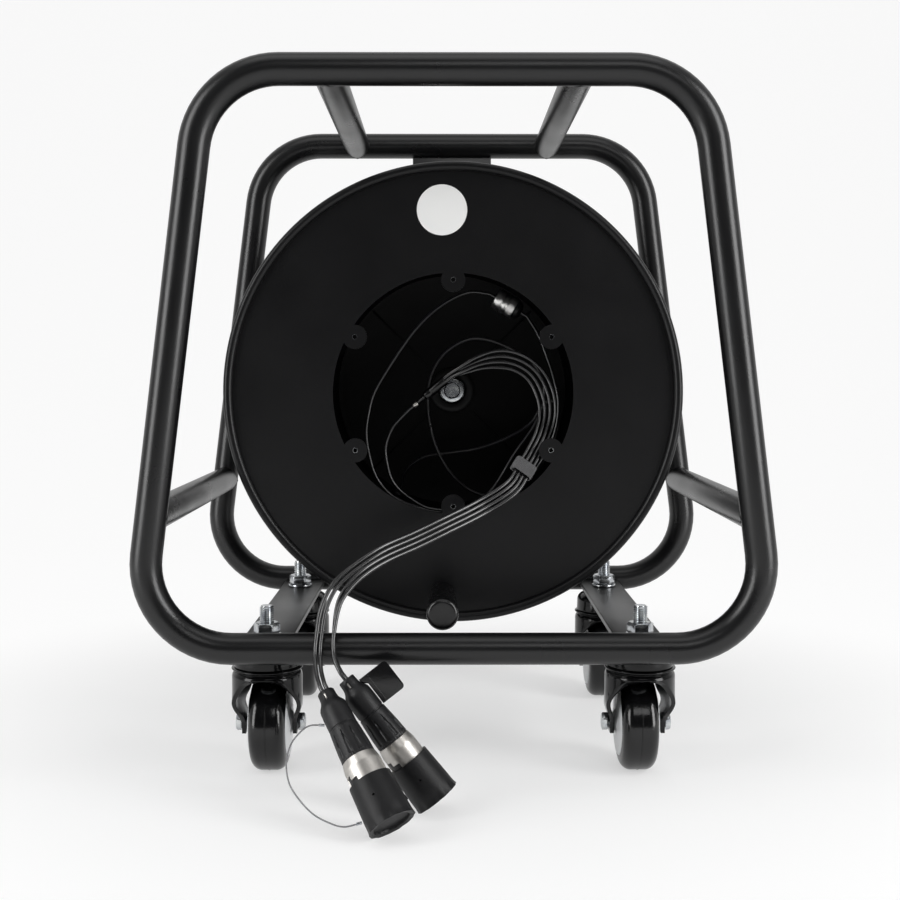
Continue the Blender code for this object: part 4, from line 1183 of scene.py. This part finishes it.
def swept(name, path, section, upright=None):
    """Carry a closed section of (side, up) points along a path, and close its two ends."""
    bm = bmesh.new()
    uv_layer = bm.loops.layers.uv.new("Length")
    up = upright or Vector((0.3, 0.5, 0.8))
    count = len(section)
    rim = [0.0]
    for (a, b), (c, d) in zip(section, section[1:] + section[:1]):
        rim.append(rim[-1] + math.hypot(c - a, d - b))
    rings, run = [], [0.0]
    for index, spot in enumerate(path):
        tangent = (path[min(index + 1, len(path) - 1)] - path[max(index - 1, 0)]).normalized()
        side = tangent.cross(up).normalized()
        up = side.cross(tangent) if upright is None else up
        rings.append([bm.verts.new(spot + side * a + up * b) for a, b in section])
        if index:
            run.append(run[-1] + (spot - path[index - 1]).length)
    for ring, next_ring, low, high in zip(rings, rings[1:], run, run[1:]):
        for k in range(count):
            after = (k + 1) % count
            face = bm.faces.new((ring[k], ring[after], next_ring[after], next_ring[k]))
            face.smooth = True
            corners = ((rim[k], low), (rim[k + 1], low), (rim[k + 1], high), (rim[k], high))
            for loop, uv in zip(face.loops, corners):
                loop[uv_layer].uv = uv
    bm.faces.new(reversed(rings[0]))
    bm.faces.new(rings[-1])
    bmesh.ops.recalc_face_normals(bm, faces=bm.faces)
    mesh = bpy.data.meshes.new(name)
    bm.to_mesh(mesh)
    bm.free()
    piece = bpy.data.objects.new(name, mesh)
    bpy.context.scene.collection.objects.link(piece)
    return soften(piece)


def round_section(diameter, sides=16):
    return arc((0.0, 0.0), diameter / 2, 0, 360 - 360 / sides, sides - 1)


# %% [markdown]
# ## The wound cable
#
# The outer layer is one helix round the drum, and behind its last turn the layer below shows,
# wound the other way. Both are worked out by a loop: angle and height grow together. The far end
# slips into a sleeve that protects its connectors.

# %% Winding
CABLE_D, PITCH, WOUND_R, LOOPS = 0.0090, 0.0095, 0.146, 15
WOUND_START = deg(20)
SLEEVE_R, SLEEVE_L = 0.011, 0.084
CORE_R = 0.1396
LOOP_POINTS = 48
WOUND_LOW = REAR_Z + 0.0003 + CABLE_D / 2
WOUND_HIGH = FRONT_INSIDE - 0.0003 - CABLE_D / 2


def sleeve_frame():
    """Where the cable's far end enters its sleeve, beside the last turn."""
    angle = WOUND_START + deg(80)
    entry = polar(CORE_R + SLEEVE_R + 0.0006, angle, REAR_Z + 0.0235)
    return aimed(entry, polar(1.0, angle + deg(90)))


def wound_path():
    """The outer layer's helix, then a run from its last turn into the sleeve."""
    points = []
    for index in range(LOOPS * LOOP_POINTS + 1):
        turns = index / LOOP_POINTS
        points.append(polar(WOUND_R, WOUND_START + math.tau * turns, WOUND_HIGH - PITCH * turns))
    last, entry = points[-1], sleeve_frame()
    run_in = entry @ Vector((0.0, 0.0, -0.012))
    run_in_angle = math.atan2(run_in.y, run_in.x)
    for step in range(1, 10):
        share = step / 10
        eased = share * share * (3 - 2 * share)
        radius = WOUND_R + (run_in.to_2d().length - WOUND_R) * eased
        angle = WOUND_START + (run_in_angle - WOUND_START) * share
        points.append(polar(radius, angle, last.z + (run_in.z - last.z) * eased))
    return points + [run_in, entry @ Vector((0.0, 0.0, 0.001))]


def lower_layer_path():
    radius = CORE_R - CABLE_D / 2
    count = int((WOUND_HIGH - WOUND_LOW) / PITCH * LOOP_POINTS)
    return [polar(radius, -math.tau * index / LOOP_POINTS, WOUND_LOW + PITCH * index / LOOP_POINTS)
            for index in range(count + 1)]


winding = swept("outer_layer", wound_path(), round_section(CABLE_D, 14))
dress(settle(winding, DRUM), cable_jacket, "drum", "cable_jacket", "cable_winding")
lower_layer = swept("lower_layer", lower_layer_path(), round_section(CABLE_D, 12))
dress(settle(lower_layer, DRUM), cable_jacket, "drum", "cable_jacket", "winding_core")
print("outer layer", round(path_length(wound_path()), 2), "m of cable")

# %% Far end in its sleeve
SLEEVE = DRUM @ sleeve_frame()
groove_r = SLEEVE_R - 0.0006
grooves = []
for groove in range(5):
    z = 0.020 + 0.012 * groove
    grooves += [(SLEEVE_R, z), (groove_r, z + 0.0006), (groove_r, z + 0.0024), (SLEEVE_R, z + 0.0030)]
sleeve_profile = [(0.0, 0.0), (0.0078, 0.0), (0.0094, 0.0015), (SLEEVE_R, 0.012), *grooves,
                  (SLEEVE_R, SLEEVE_L), (0.0, SLEEVE_L)]
sleeve = spun("far_sleeve", sleeve_profile, SLEEVE, 0.0003, 48)
dress(sleeve, sleeve_plastic, "drum", "black_plastic", "far_end_sleeve")
end_cap_profile = [(0.0, SLEEVE_L + 0.0003), (SLEEVE_R, SLEEVE_L + 0.0003), (SLEEVE_R, SLEEVE_L + 0.0062),
                   (0.0093, SLEEVE_L + 0.0088), (0.0, SLEEVE_L + 0.0088)]
end_cap = spun("far_cap", end_cap_profile, SLEEVE, 0.0008, 48)
dress(end_cap, cap_rubber, "drum", "black_rubber", "far_end_cap")

# %% Grommet in the barrel's wall
GROMMET_ANGLE, GROMMET_Z = deg(-118), -0.072
GROMMET = DRUM @ aimed(Vector((0.0, 0.0, GROMMET_Z)), polar(1.0, GROMMET_ANGLE))
grommet_depths = [(0.0016, 0.0064), (0.0050, 0.0064), (0.0067, 0.0050), (0.0067, 0.0024), (0.0046, 0.0024),
                  (0.0046, 0.0004), (0.0016, 0.0004), (0.0016, 0.0064)]
grommet = spun("grommet", [(r, BARREL_R - depth) for r, depth in grommet_depths], GROMMET, 0.0004, 40)
dress(grommet, cap_rubber, "drum", "black_rubber", "cable_grommet")

# %% [markdown]
# ## Cable end: splitter and coupler
#
# A thin cord leaves the barrel through the grommet, loops round the cavity to a nickel coupler,
# and goes on to the splitter, where four fibre legs fan out. The coupler has two turned grooves
# and a fine knurl, which is cut as a ring of shallow notches.

# %% Coupler
COUPLER_START, COUPLER_END = Vector((0.040, 0.032, 0.402)), Vector((0.058, 0.030, 0.391))
COUPLER = aimed(COUPLER_START, COUPLER_END - COUPLER_START)


def knurl(angle, height, radius):
    on_grip = 0.0145 < height < 0.0200
    return -0.0003 * (0.5 + 0.5 * math.cos(48 * angle)) if on_grip else 0.0


coupler_profile = [(0.0, 0.0), (0.0090, 0.0), (0.0099, 0.0010), (0.0100, 0.0075), (0.0095, 0.0079),
                   (0.0095, 0.0090), (0.0101, 0.0094), (0.0102, 0.0123), (0.0096, 0.0127),
                   (0.0096, 0.0138), (0.0102, 0.0142), (0.0102, 0.0150), (0.0102, 0.0196),
                   (0.0098, 0.0209), (0.0, 0.0209)]
coupler = shaped(turned("coupler", coupler_profile, 144), knurl)
coupler = settle(soften(coupler, 0.00015, 1), COUPLER)
# The coupler's nickel is painted lighter to stand in for light that does not reach it.
dress(coupler, coupler_nickel_painted_light, "frame", "nickel", "coupler_shell")
SEAL_END = 0.0275
seal_profile = [(0.0, 0.0211), (0.0086, 0.0211), (0.0085, 0.0225), (0.0080, 0.0250), (0.0052, 0.0272),
                (0.0, SEAL_END)]
coupler_seal = spun("coupler_rear", seal_profile, COUPLER, 0.0004, 48)
dress(coupler_seal, boot_rubber, "frame", "black_rubber", "coupler_seal")

# %% Splitter and ferrule
SPLIT_LOW, SPLIT_HIGH = Vector((-0.025, -0.006, 0.311)), Vector((-0.007, -0.008, 0.326))
SPLITTER = aimed(SPLIT_LOW, SPLIT_HIGH - SPLIT_LOW)
SPLITTER_L = 0.0235
FERRULE_END = -0.0136
splitter_profile = [(0.0, -0.0090), (0.0017, -0.0090), (0.0021, -0.0020), (0.0026, -0.0004),
                    (0.0042, 0.0006), (0.0043, 0.0060), (0.0041, 0.0066), (0.0043, 0.0072),
                    (0.0043, SPLITTER_L - 0.0012), (0.0040, SPLITTER_L), (0.0, SPLITTER_L)]
splitter = spun("splitter", splitter_profile, SPLITTER, 0.0003, 40)
dress(splitter, knob_plastic, "frame", "black_rubber", "leg_splitter")
ferrule_profile = [(0.0, FERRULE_END), (0.0020, FERRULE_END), (0.0023, -0.0130), (0.0023, -0.0100),
                   (0.0020, -0.0093), (0.0, -0.0093)]
ferrule = spun("ferrule", ferrule_profile, SPLITTER, steps=32)
dress(ferrule, nickel, "frame", "nickel", "splitter_ferrule")

# %% [markdown]
# ## Connectors
#
# Both connectors are alike: a slim collar, a rubber boot, a grip with long pointed grooves that
# swells towards a serrated edge, a nickel coupling ring with two bayonet slots over a dark seal,
# and a wide dust cap. Each is spun with close rings first, and then grooves, serration, slots and
# the cap's uneven rim are pressed in by moving vertices.

# %% Boot, ring and cap
CONNECTOR_L = 0.113
CAP_RIM_R = 0.0186
RING_SLOT_ANGLE = 106


def groove_depth(angle, height):
    """Ten pointed grooves that widen from 36 to 55 mm along the boot."""
    share = (height - 0.036) / 0.019
    if not 0.0 < share < 1.04:
        return 0.0
    off_centre = abs((angle / math.tau * 10) % 1.0 - 0.5) * 2
    edge = 0.42 * min(share, 1.0) ** 0.7
    return 0.0009 * max(0.0, 1 - (off_centre / max(edge, 0.01)) ** 4)


def make_boot():
    grip = []
    for step in range(32):
        height = 0.0326 + 0.0008 * step
        share = min(1.0, (height - 0.0326) / 0.0160)
        grip.append((0.0112 + 0.0014 * share + 0.0004 * max(0.0, (height - 0.0486) / 0.0094), height))
    profile = [(0.0, 0.0), (0.0060, 0.0), (0.0066, 0.0008), (0.0068, 0.0052), (0.0072, 0.0076),
               (0.0082, 0.0098), (0.0095, 0.0116), (0.0104, 0.0134), (0.0108, 0.0160), (0.0110, 0.0220),
               (0.0110, 0.0308), (0.0105, 0.0312), (0.0105, 0.0320), *grip, (0.0129, 0.0580), (0.0, 0.0580)]

    def press(angle, height, radius):
        depth = 0.0
        if height > 0.0560 and radius > 0.012:
            depth = 0.0003 * (0.5 + 0.5 * math.cos(40 * angle))
        if radius > 0.0109:
            depth += groove_depth(angle, height)
        return -depth

    boot = shaped(turned("boot", profile, 160), press)
    slot = block("slot", (-0.0009, 0.0045, 0.0025), (0.0009, 0.0100, 0.0080))
    return soften(cut(boot, slot))


def make_coupling_ring():
    """A ring with two L-shaped slots: an entry from the front, then a catch along the ring."""
    rows = [(0.0145, 0.0650 + 0.0004 * step) for step in range(37)]
    profile = [(0.0, 0.0582), (0.0126, 0.0582), (0.0132, 0.0586), (0.0142, 0.0632), *rows,
               (0.0145, 0.0800), (0.0, 0.0800)]

    def press(angle, height, radius):
        round_ring = (angle - deg(RING_SLOT_ANGLE)) % math.pi
        entry = round_ring < deg(58) and height > 0.0730
        catch = deg(26) < round_ring < deg(58) and height > 0.0694
        return -0.0011 if (entry or catch) and radius > 0.0144 else 0.0

    return soften(shaped(turned("ring", profile, 240), press))


def make_cap():
    wall = [(0.0164 + 0.0014 * step / 20, 0.0770 + 0.0300 * step / 20) for step in range(21)]
    flare = [(0.0178 + 0.0008 * (step / 6) ** 2, 0.1070 + 0.0060 * step / 6) for step in range(1, 7)]
    dish = [(0.0178, CONNECTOR_L), (0.0162, CONNECTOR_L - 0.0005), (0.0150, CONNECTOR_L - 0.0008),
            (0.0144, CONNECTOR_L - 0.0024), (0.0100, CONNECTOR_L - 0.0030), (0.0, CONNECTOR_L - 0.0026)]
    mouth = [(0.0, 0.0804), (0.0149, 0.0804), (0.0149, 0.0772), (0.0156, 0.0770)]

    def press(angle, height, radius):
        rim = max(0.0, (height - 0.103) / 0.010)
        uneven = 2 + math.cos(9 * angle) + math.cos(14 * angle + 1)
        return -0.00025 * rim * uneven if radius > 0.0140 else 0.0

    cap = shaped(turned("cap", [*mouth, *wall, *flare, *dish], 160), press)
    outwards = (Matrix.Rotation(deg(84), 4, "Z") @ Matrix.Translation((0.0, 0.0, 0.0925))
                @ Matrix.Rotation(deg(90), 4, "Y"))
    vent = settle(rod("vent", 0.0009, 0.0150, 0.0200, 16), outwards)
    return soften(cut(cap, vent))


def connector_frame(nose_x, nose_y, heading, pitch):
    """Frame at a connector's rear end, its Z along it, its cap's rim resting on the floor."""
    flat = math.cos(deg(pitch))
    direction = Vector((flat * math.cos(deg(heading)), flat * math.sin(deg(heading)), -math.sin(deg(pitch))))
    nose = Vector((nose_x, nose_y, CAP_RIM_R * flat + 0.0003))
    return aimed(nose - direction * CONNECTOR_L, direction, direction.cross(Vector((0.0, 1.0, 0.0))))


CONNECTORS = {"left": connector_frame(-0.0446, -0.2720, -49, 45),
              "right": connector_frame(-0.0130, -0.2120, -10, 51.3)}
boot, coupling_ring, cap = make_boot(), make_coupling_ring(), make_cap()
slot_seal = soften(bored("slot_seal", 0.0125, 0.0138, 0.0700, 0.0799, 96))
boot_clip = soften(block("boot_clip", (-0.0008, 0.0046, 0.0028), (0.0008, 0.0060, 0.0077)), 0.0003)
for side, place in CONNECTORS.items():
    made = dressed_copies(side, [
        (slot_seal, "slot_seal", place, boot_rubber, "frame", "black_rubber"),
        (boot_clip, "boot_clip", place, nickel, "frame", "nickel"),
        (boot, "boot", place, boot_rubber, "frame", "black_rubber", "connector_boot"),
        (coupling_ring, "ring", place, nickel, "frame", "nickel", "coupling_ring"),
        (cap, "cap", place, cap_rubber, "frame", "black_rubber", "dust_cap"),
    ])
discard(boot, coupling_ring, cap, slot_seal, boot_clip)

# %% [markdown]
# ## Inner cords
#
# Two thin cords lie in the cavity. Their routes are the CAD model's own. The long one starts in
# the grommet, which turns with the drum, and ends at the coupler, which does not. It is hung on
# no rigid body: its place is written into its mesh.

# %% Inner cords
INNER_D = 0.0029
GAP = 0.0003
INNER_ROUTE_A = [
    (-0.0480, -0.0025, 0.2905), (-0.0550, -0.0010, 0.2820), (-0.0610, 0.0000, 0.2660),
    (-0.0600, 0.0000, 0.2500), (-0.0540, 0.0000, 0.2320), (-0.0390, 0.0000, 0.2180),
    (-0.0200, 0.0000, 0.2085), (0.0160, 0.0000, 0.2080), (0.0480, 0.0000, 0.2180),
    (0.0750, 0.0020, 0.2430), (0.0920, 0.0060, 0.2740), (0.0970, 0.0120, 0.3030),
    (0.0930, 0.0180, 0.3280), (0.0860, 0.0230, 0.3500), (0.0790, 0.0280, 0.3680),
]
INNER_ROUTE_B = [
    (0.0170, 0.0320, 0.4070), (0.0000, 0.0320, 0.4010), (-0.0180, 0.0300, 0.3890),
    (-0.0330, 0.0280, 0.3740), (-0.0460, 0.0260, 0.3570), (-0.0610, 0.0240, 0.3340),
    (-0.0730, 0.0220, 0.3130), (-0.0780, 0.0200, 0.2940), (-0.0800, 0.0180, 0.2750),
    (-0.0770, 0.0160, 0.2560), (-0.0710, 0.0140, 0.2370), (-0.0580, 0.0120, 0.2210),
    (-0.0380, 0.0100, 0.2105), (-0.0100, 0.0090, 0.2045), (0.0160, 0.0120, 0.2100),
    (0.0360, 0.0180, 0.2240), (0.0580, 0.0240, 0.2580), (0.0770, 0.0300, 0.2850),
    (0.0860, 0.0360, 0.3110), (0.0790, 0.0410, 0.3370), (0.0580, 0.0440, 0.3530),
    (0.0340, 0.0450, 0.3630), (0.0140, 0.0450, 0.3635), (-0.0070, 0.0450, 0.3510),
    (-0.0200, 0.0430, 0.3310), (-0.0235, 0.0415, 0.3080), (-0.0220, 0.0400, 0.2870),
    (-0.0160, 0.0385, 0.2640), (-0.0040, 0.0370, 0.2410), (0.0130, 0.0370, 0.2240),
    (0.0320, 0.0380, 0.2165), (0.0540, 0.0405, 0.2180), (0.0760, 0.0450, 0.2350),
    (0.0930, 0.0490, 0.2600), (0.1010, 0.0540, 0.2860), (0.0970, 0.0580, 0.3050),
    (0.0870, 0.0620, 0.3020), (0.0760, 0.0640, 0.2850), (0.0590, 0.0645, 0.2730),
    (0.0270, 0.0660, 0.2600), (-0.0030, 0.0670, 0.2550), (-0.0260, 0.0680, 0.2515),
    (-0.0400, 0.0690, 0.2430), (-0.0475, 0.0705, 0.2330),
]


def long_cord_path():
    """From the grommet to the coupler."""
    along = COUPLER.to_3x3() @ Vector((0.0, 0.0, 1.0))
    outward = polar(1.0, GROMMET_ANGLE)
    wall_r = BARREL_R - 0.0065
    start, leave = (Vector((outward.x * r, -GROMMET_Z, AXLE_Z + outward.y * r))
                    for r in (wall_r - GAP, wall_r - 0.0060))
    route = [leave, *reversed(INNER_ROUTE_B), COUPLER_START - along * 0.0060]
    return [start, *smooth_path(route, 240), COUPLER_START - along * GAP]


def short_cord_path():
    """From the coupler's seal to the ferrule before the splitter."""
    start = COUPLER @ Vector((0.0, 0.0, SEAL_END + GAP))
    leave = COUPLER @ Vector((0.0, 0.0, 0.0340))
    arrive = SPLITTER @ Vector((0.0, 0.0, -0.0190))
    end = SPLITTER @ Vector((0.0, 0.0, FERRULE_END - GAP))
    return [start, *smooth_path([leave, *reversed(INNER_ROUTE_A), arrive], 120), end]


def lay_cord(name, path, diameter, material, node):
    """Sweep a cord, give it its material, hide the CAD node that it replaces and print its length."""
    cord = swept(name, path, round_section(diameter, 14))
    cord.data.materials.append(material)
    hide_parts(node)
    length = round(path_length(path), 3)
    print(name, length, "m")
    return cord


long_cord = lay_cord("long_inner_cord", long_cord_path(), INNER_D, cord_jacket,
                     "inner_cable_b")
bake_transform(long_cord)
short_cord = lay_cord("short_inner_cord", short_cord_path(), INNER_D, cord_jacket,
                      "inner_cable_a")
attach(short_cord, "frame")

# %% [markdown]
# ## Fibre legs
#
# The four legs leave the splitter in a bundle, lie side by side through a strap, come out over
# the opening's edge and the ring's lower run, and drop in pairs to the two connectors. One line
# carries the bundle, and each leg keeps its own place beside it. A row of the bundle is a point,
# how far each pair lies from it, half a pair's width, and the turn of the pair in degrees. A row
# of a tail is a point and the turn.

# %% Fibre legs
LEG_D = 0.0033
LEG_BUNDLE = [
    ((-0.0022, -0.0085, 0.3300), 0.00175, 0.0018, 90),
    ((0.0090, -0.0120, 0.3350), 0.0024, 0.0019, 60),
    ((0.0240, -0.0150, 0.3415), 0.0036, 0.0022, 30),
    ((0.0410, -0.0180, 0.3445), 0.0050, 0.0025, 0),
    ((0.0575, -0.0205, 0.3415), 0.0050, 0.0025, 0),
    ((0.0720, -0.0235, 0.3315), 0.0050, 0.0025, 0),
    ((0.0810, -0.0270, 0.3150), 0.0050, 0.0025, 0),
    ((0.0835, -0.0320, 0.2970), 0.0046, 0.0023, 0),
    ((0.0790, -0.0390, 0.2795), 0.0042, 0.0021, 0),
    ((0.0715, -0.0485, 0.2655), 0.0040, 0.0020, 0),
    ((0.0610, -0.0620, 0.2500), 0.0040, 0.0020, 0),
    ((0.0505, -0.0740, 0.2355), 0.0040, 0.0020, 0),
    ((0.0240, -0.0860, 0.2195), 0.0040, 0.0020, 0),
    ((-0.0040, -0.1050, 0.2075), 0.0040, 0.0020, 0),
    ((-0.0310, -0.1270, 0.1970), 0.0040, 0.0020, 0),
    ((-0.0565, -0.1470, 0.1880), 0.0040, 0.0020, 0),
]
TIE_STATION = 10
TAILS = {
    "left": [
        ((-0.0800, -0.1600, 0.1785), 0), ((-0.0930, -0.1660, 0.1670), 0), ((-0.1015, -0.1730, 0.1500), 0),
        ((-0.1048, -0.1812, 0.1282), 0), ((-0.1053, -0.1868, 0.1165), 0), ((-0.1035, -0.1975, 0.1055), 0),
    ],
    "right": [
        ((-0.0715, -0.1600, 0.1755), 0), ((-0.0825, -0.1670, 0.1655), 30), ((-0.0900, -0.1730, 0.1525), 60),
        ((-0.0932, -0.1827, 0.1292), 90), ((-0.0926, -0.1887, 0.1170), 90), ((-0.0903, -0.1940, 0.1110), 90),
    ],
}
TAIL_HALF = 0.0020


def leg_path(side, pair, member):
    """Centreline of one leg: its place in the bundle, then with its pair to the connector."""
    tail, connector = TAILS[side], CONNECTORS[side]
    start = SPLITTER @ Vector((0.0, 0.0, SPLITTER_L + GAP))
    tail = tail + [(connector @ Vector((0.0, 0.0, back)), tail[-1][1]) for back in (-0.006, -GAP)]
    stations = [(start, *LEG_BUNDLE[0][1:])] + LEG_BUNDLE
    stations += [(point, 0.0, TAIL_HALF, turn) for point, turn in tail]
    centres = [Vector(station[0]) for station in stations]
    points = []
    for index, (_, pair_offset, half, turn) in enumerate(stations):
        along = centres[min(index + 1, len(centres) - 1)] - centres[max(index - 1, 0)]
        if index in (0, 1):
            along = SPLITTER.to_3x3() @ Vector((0.0, 0.0, 1.0))
        if index >= len(stations) - 2:
            along = connector.to_3x3() @ Vector((0.0, 0.0, 1.0))
        along.normalize()
        sideways = Vector((-along.z, 0.0, along.x)).normalized()
        forwards = along.cross(sideways)
        in_pair = member * half * (sideways * math.cos(deg(turn)) + forwards * math.sin(deg(turn)))
        points.append(centres[index] + sideways * pair * pair_offset + in_pair)
    inside = points[-1] + connector.to_3x3() @ Vector((0.0, 0.0, 0.005))
    return [points[0]] + smooth_path(points[1:-1], 150) + [points[-1], inside]


for side, pair in (("left", -1), ("right", 1)):
    for number, member in ((1, -1), (2, 1)):
        leg = lay_cord(f"leg_{side}_{number}", leg_path(side, pair, member), LEG_D, leg_jacket,
                       f"fibre_leg_{side}_{number}")
        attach(leg, "frame")

# %% [markdown]
# ## Strap
#
# The strap is hook-and-loop tape wrapped once round the legs, its free end lapped over itself.
# Its path spirals outwards by its own thickness where it overlaps.

# %% Strap round the legs


def strap_path(width, height, corner, thickness, turns):
    """A rounded rectangle in the XY plane that grows outwards after its first round."""
    half_w, half_h = width / 2 - corner, height / 2 - corner
    corners = [(half_w, half_h, 0), (-half_w, half_h, 90), (-half_w, -half_h, 180), (half_w, -half_h, 270)]
    line = []
    for x, y, start in corners:
        line += arc((x, y), corner, start, start + 90, 6)
    path = []
    for index in range(int(len(line) * turns)):
        x, y = line[(index + 9) % len(line)]
        lap = 1 + thickness * min(1.0, max(0.0, (index - len(line) + 8) / 8)) / math.hypot(x, y)
        path.append(Vector((x * lap, y * lap, 0.0)))
    return path


before, at, after = (Vector(LEG_BUNDLE[TIE_STATION + step][0]) for step in (-1, 0, 1))
strap_along = (after - before).normalized()
STRAP = aimed(at, strap_along, Vector((-strap_along.z, 0.0, strap_along.x)))
tape = [(-0.0004, -0.0062), (0.0004, -0.0062), (0.0005, -0.0058), (0.0005, 0.0058), (0.0004, 0.0062),
        (-0.0004, 0.0062), (-0.0005, 0.0058), (-0.0005, -0.0058)]
strap = swept("strap", strap_path(0.0184, 0.0066, 0.0030, 0.0011, 1.35), tape, Vector((0.0, 0.0, 1.0)))
dress(settle(strap, STRAP), strap_grey, "frame", "grey_strap", "hook_loop_tie")

# %% [markdown]
# ## Tethers and label
#
# A thin steel cable keeps each dust cap on its connector, held by a crimped sleeve at both ends.
# The right boot carries a plastic flag for a cable number, left blank. It is a rounded
# outline, thin, with a fold line where it was heat-pressed.

# %% Tethers
TETHER_D = 0.0012
TETHER_ROUTES = {
    "left": [
        (-0.1079, -0.2230, 0.0708), (-0.1154, -0.2230, 0.0655), (-0.1218, -0.2260, 0.0573),
        (-0.1244, -0.2300, 0.0472), (-0.1238, -0.2350, 0.0393), (-0.1206, -0.2410, 0.0312),
        (-0.1132, -0.2480, 0.0231), (-0.1028, -0.2550, 0.0152), (-0.0914, -0.2610, 0.0111),
        (-0.0796, -0.2650, 0.0092),
    ],
    "right": [
        (-0.0860, -0.2045, 0.0835), (-0.0790, -0.2060, 0.0715), (-0.0710, -0.2070, 0.0590),
        (-0.0640, -0.2075, 0.0480),
    ],
}
crimp_profile = [(0.0, 0.0), (0.0010, 0.0), (0.0011, 0.0004), (0.0011, 0.0040), (0.0010, 0.0044),
                 (0.0, 0.0044)]
for side, place in CONNECTORS.items():
    start = place @ Vector((-0.0108 - TETHER_D, 0.0, 0.0220))
    end = place @ Vector((-0.0178 - TETHER_D, 0.0, 0.1000))
    path = smooth_path([start, *TETHER_ROUTES[side], end], 120)
    crimps = []
    for spot, toward in ((path[0], path[6]), (path[-1], path[-7])):
        along_wire = aimed(spot, toward - spot, Vector((1.0, 0.2, 0.1)))
        crimps.append(spun("crimp", crimp_profile, along_wire, steps=20))
    crimps = dress(joined(f"crimps_{side}", crimps), zinc, "frame", "zinc")
    tether = lay_cord(f"tether_wire_{side}", path, TETHER_D, wire_steel, f"tether_{side}")
    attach(tether, "frame")

# %% Blank flag on the right boot
FLAG_LOW, FLAG_HIGH = 0.0064, 0.0318
flag_outline = [(0.0117, FLAG_HIGH), (0.0117, 0.0129), (0.0076, 0.0098), (0.0076, FLAG_LOW),
                *arc((0.0298, FLAG_LOW + 0.003), 0.003, -90, 0, 6),
                *arc((0.0298, FLAG_HIGH - 0.003), 0.003, 0, 90, 6)]
flag = soften(outlined("flag", flag_outline, -0.00035, 0.00035), 0.00015)
fold = block("fold", (0.0150, -0.00045, FLAG_LOW + 0.0005), (0.0153, 0.00045, FLAG_HIGH - 0.0005))
flag = settle(flag, Matrix.Rotation(deg(90), 4, "X"))
flag = joined("blank_flag", [flag, soften(fold, 0.0001, 1)])
dress(settle(flag, CONNECTORS["right"]), label_plastic, "frame", "black_plastic", "cable_tag")

# %% [markdown]
# ## Sticker
#
# A round vinyl sticker sits above the opening. On this copy it is left blank: a thin disc with a
# soft edge, proud of the flange by the thickness of the film.

# %% Blank sticker
film = [(0.0, 0.00002), (0.0216, 0.00002), (0.0216, 0.00018), (0.0213, 0.00024), (0.0, 0.00024)]
STICKER = DRUM @ Matrix.Translation((-0.0096, 0.1574, FRONT_Z))
dress(spun("blank_sticker", film, STICKER, steps=96), vinyl, "drum", "black_powder")
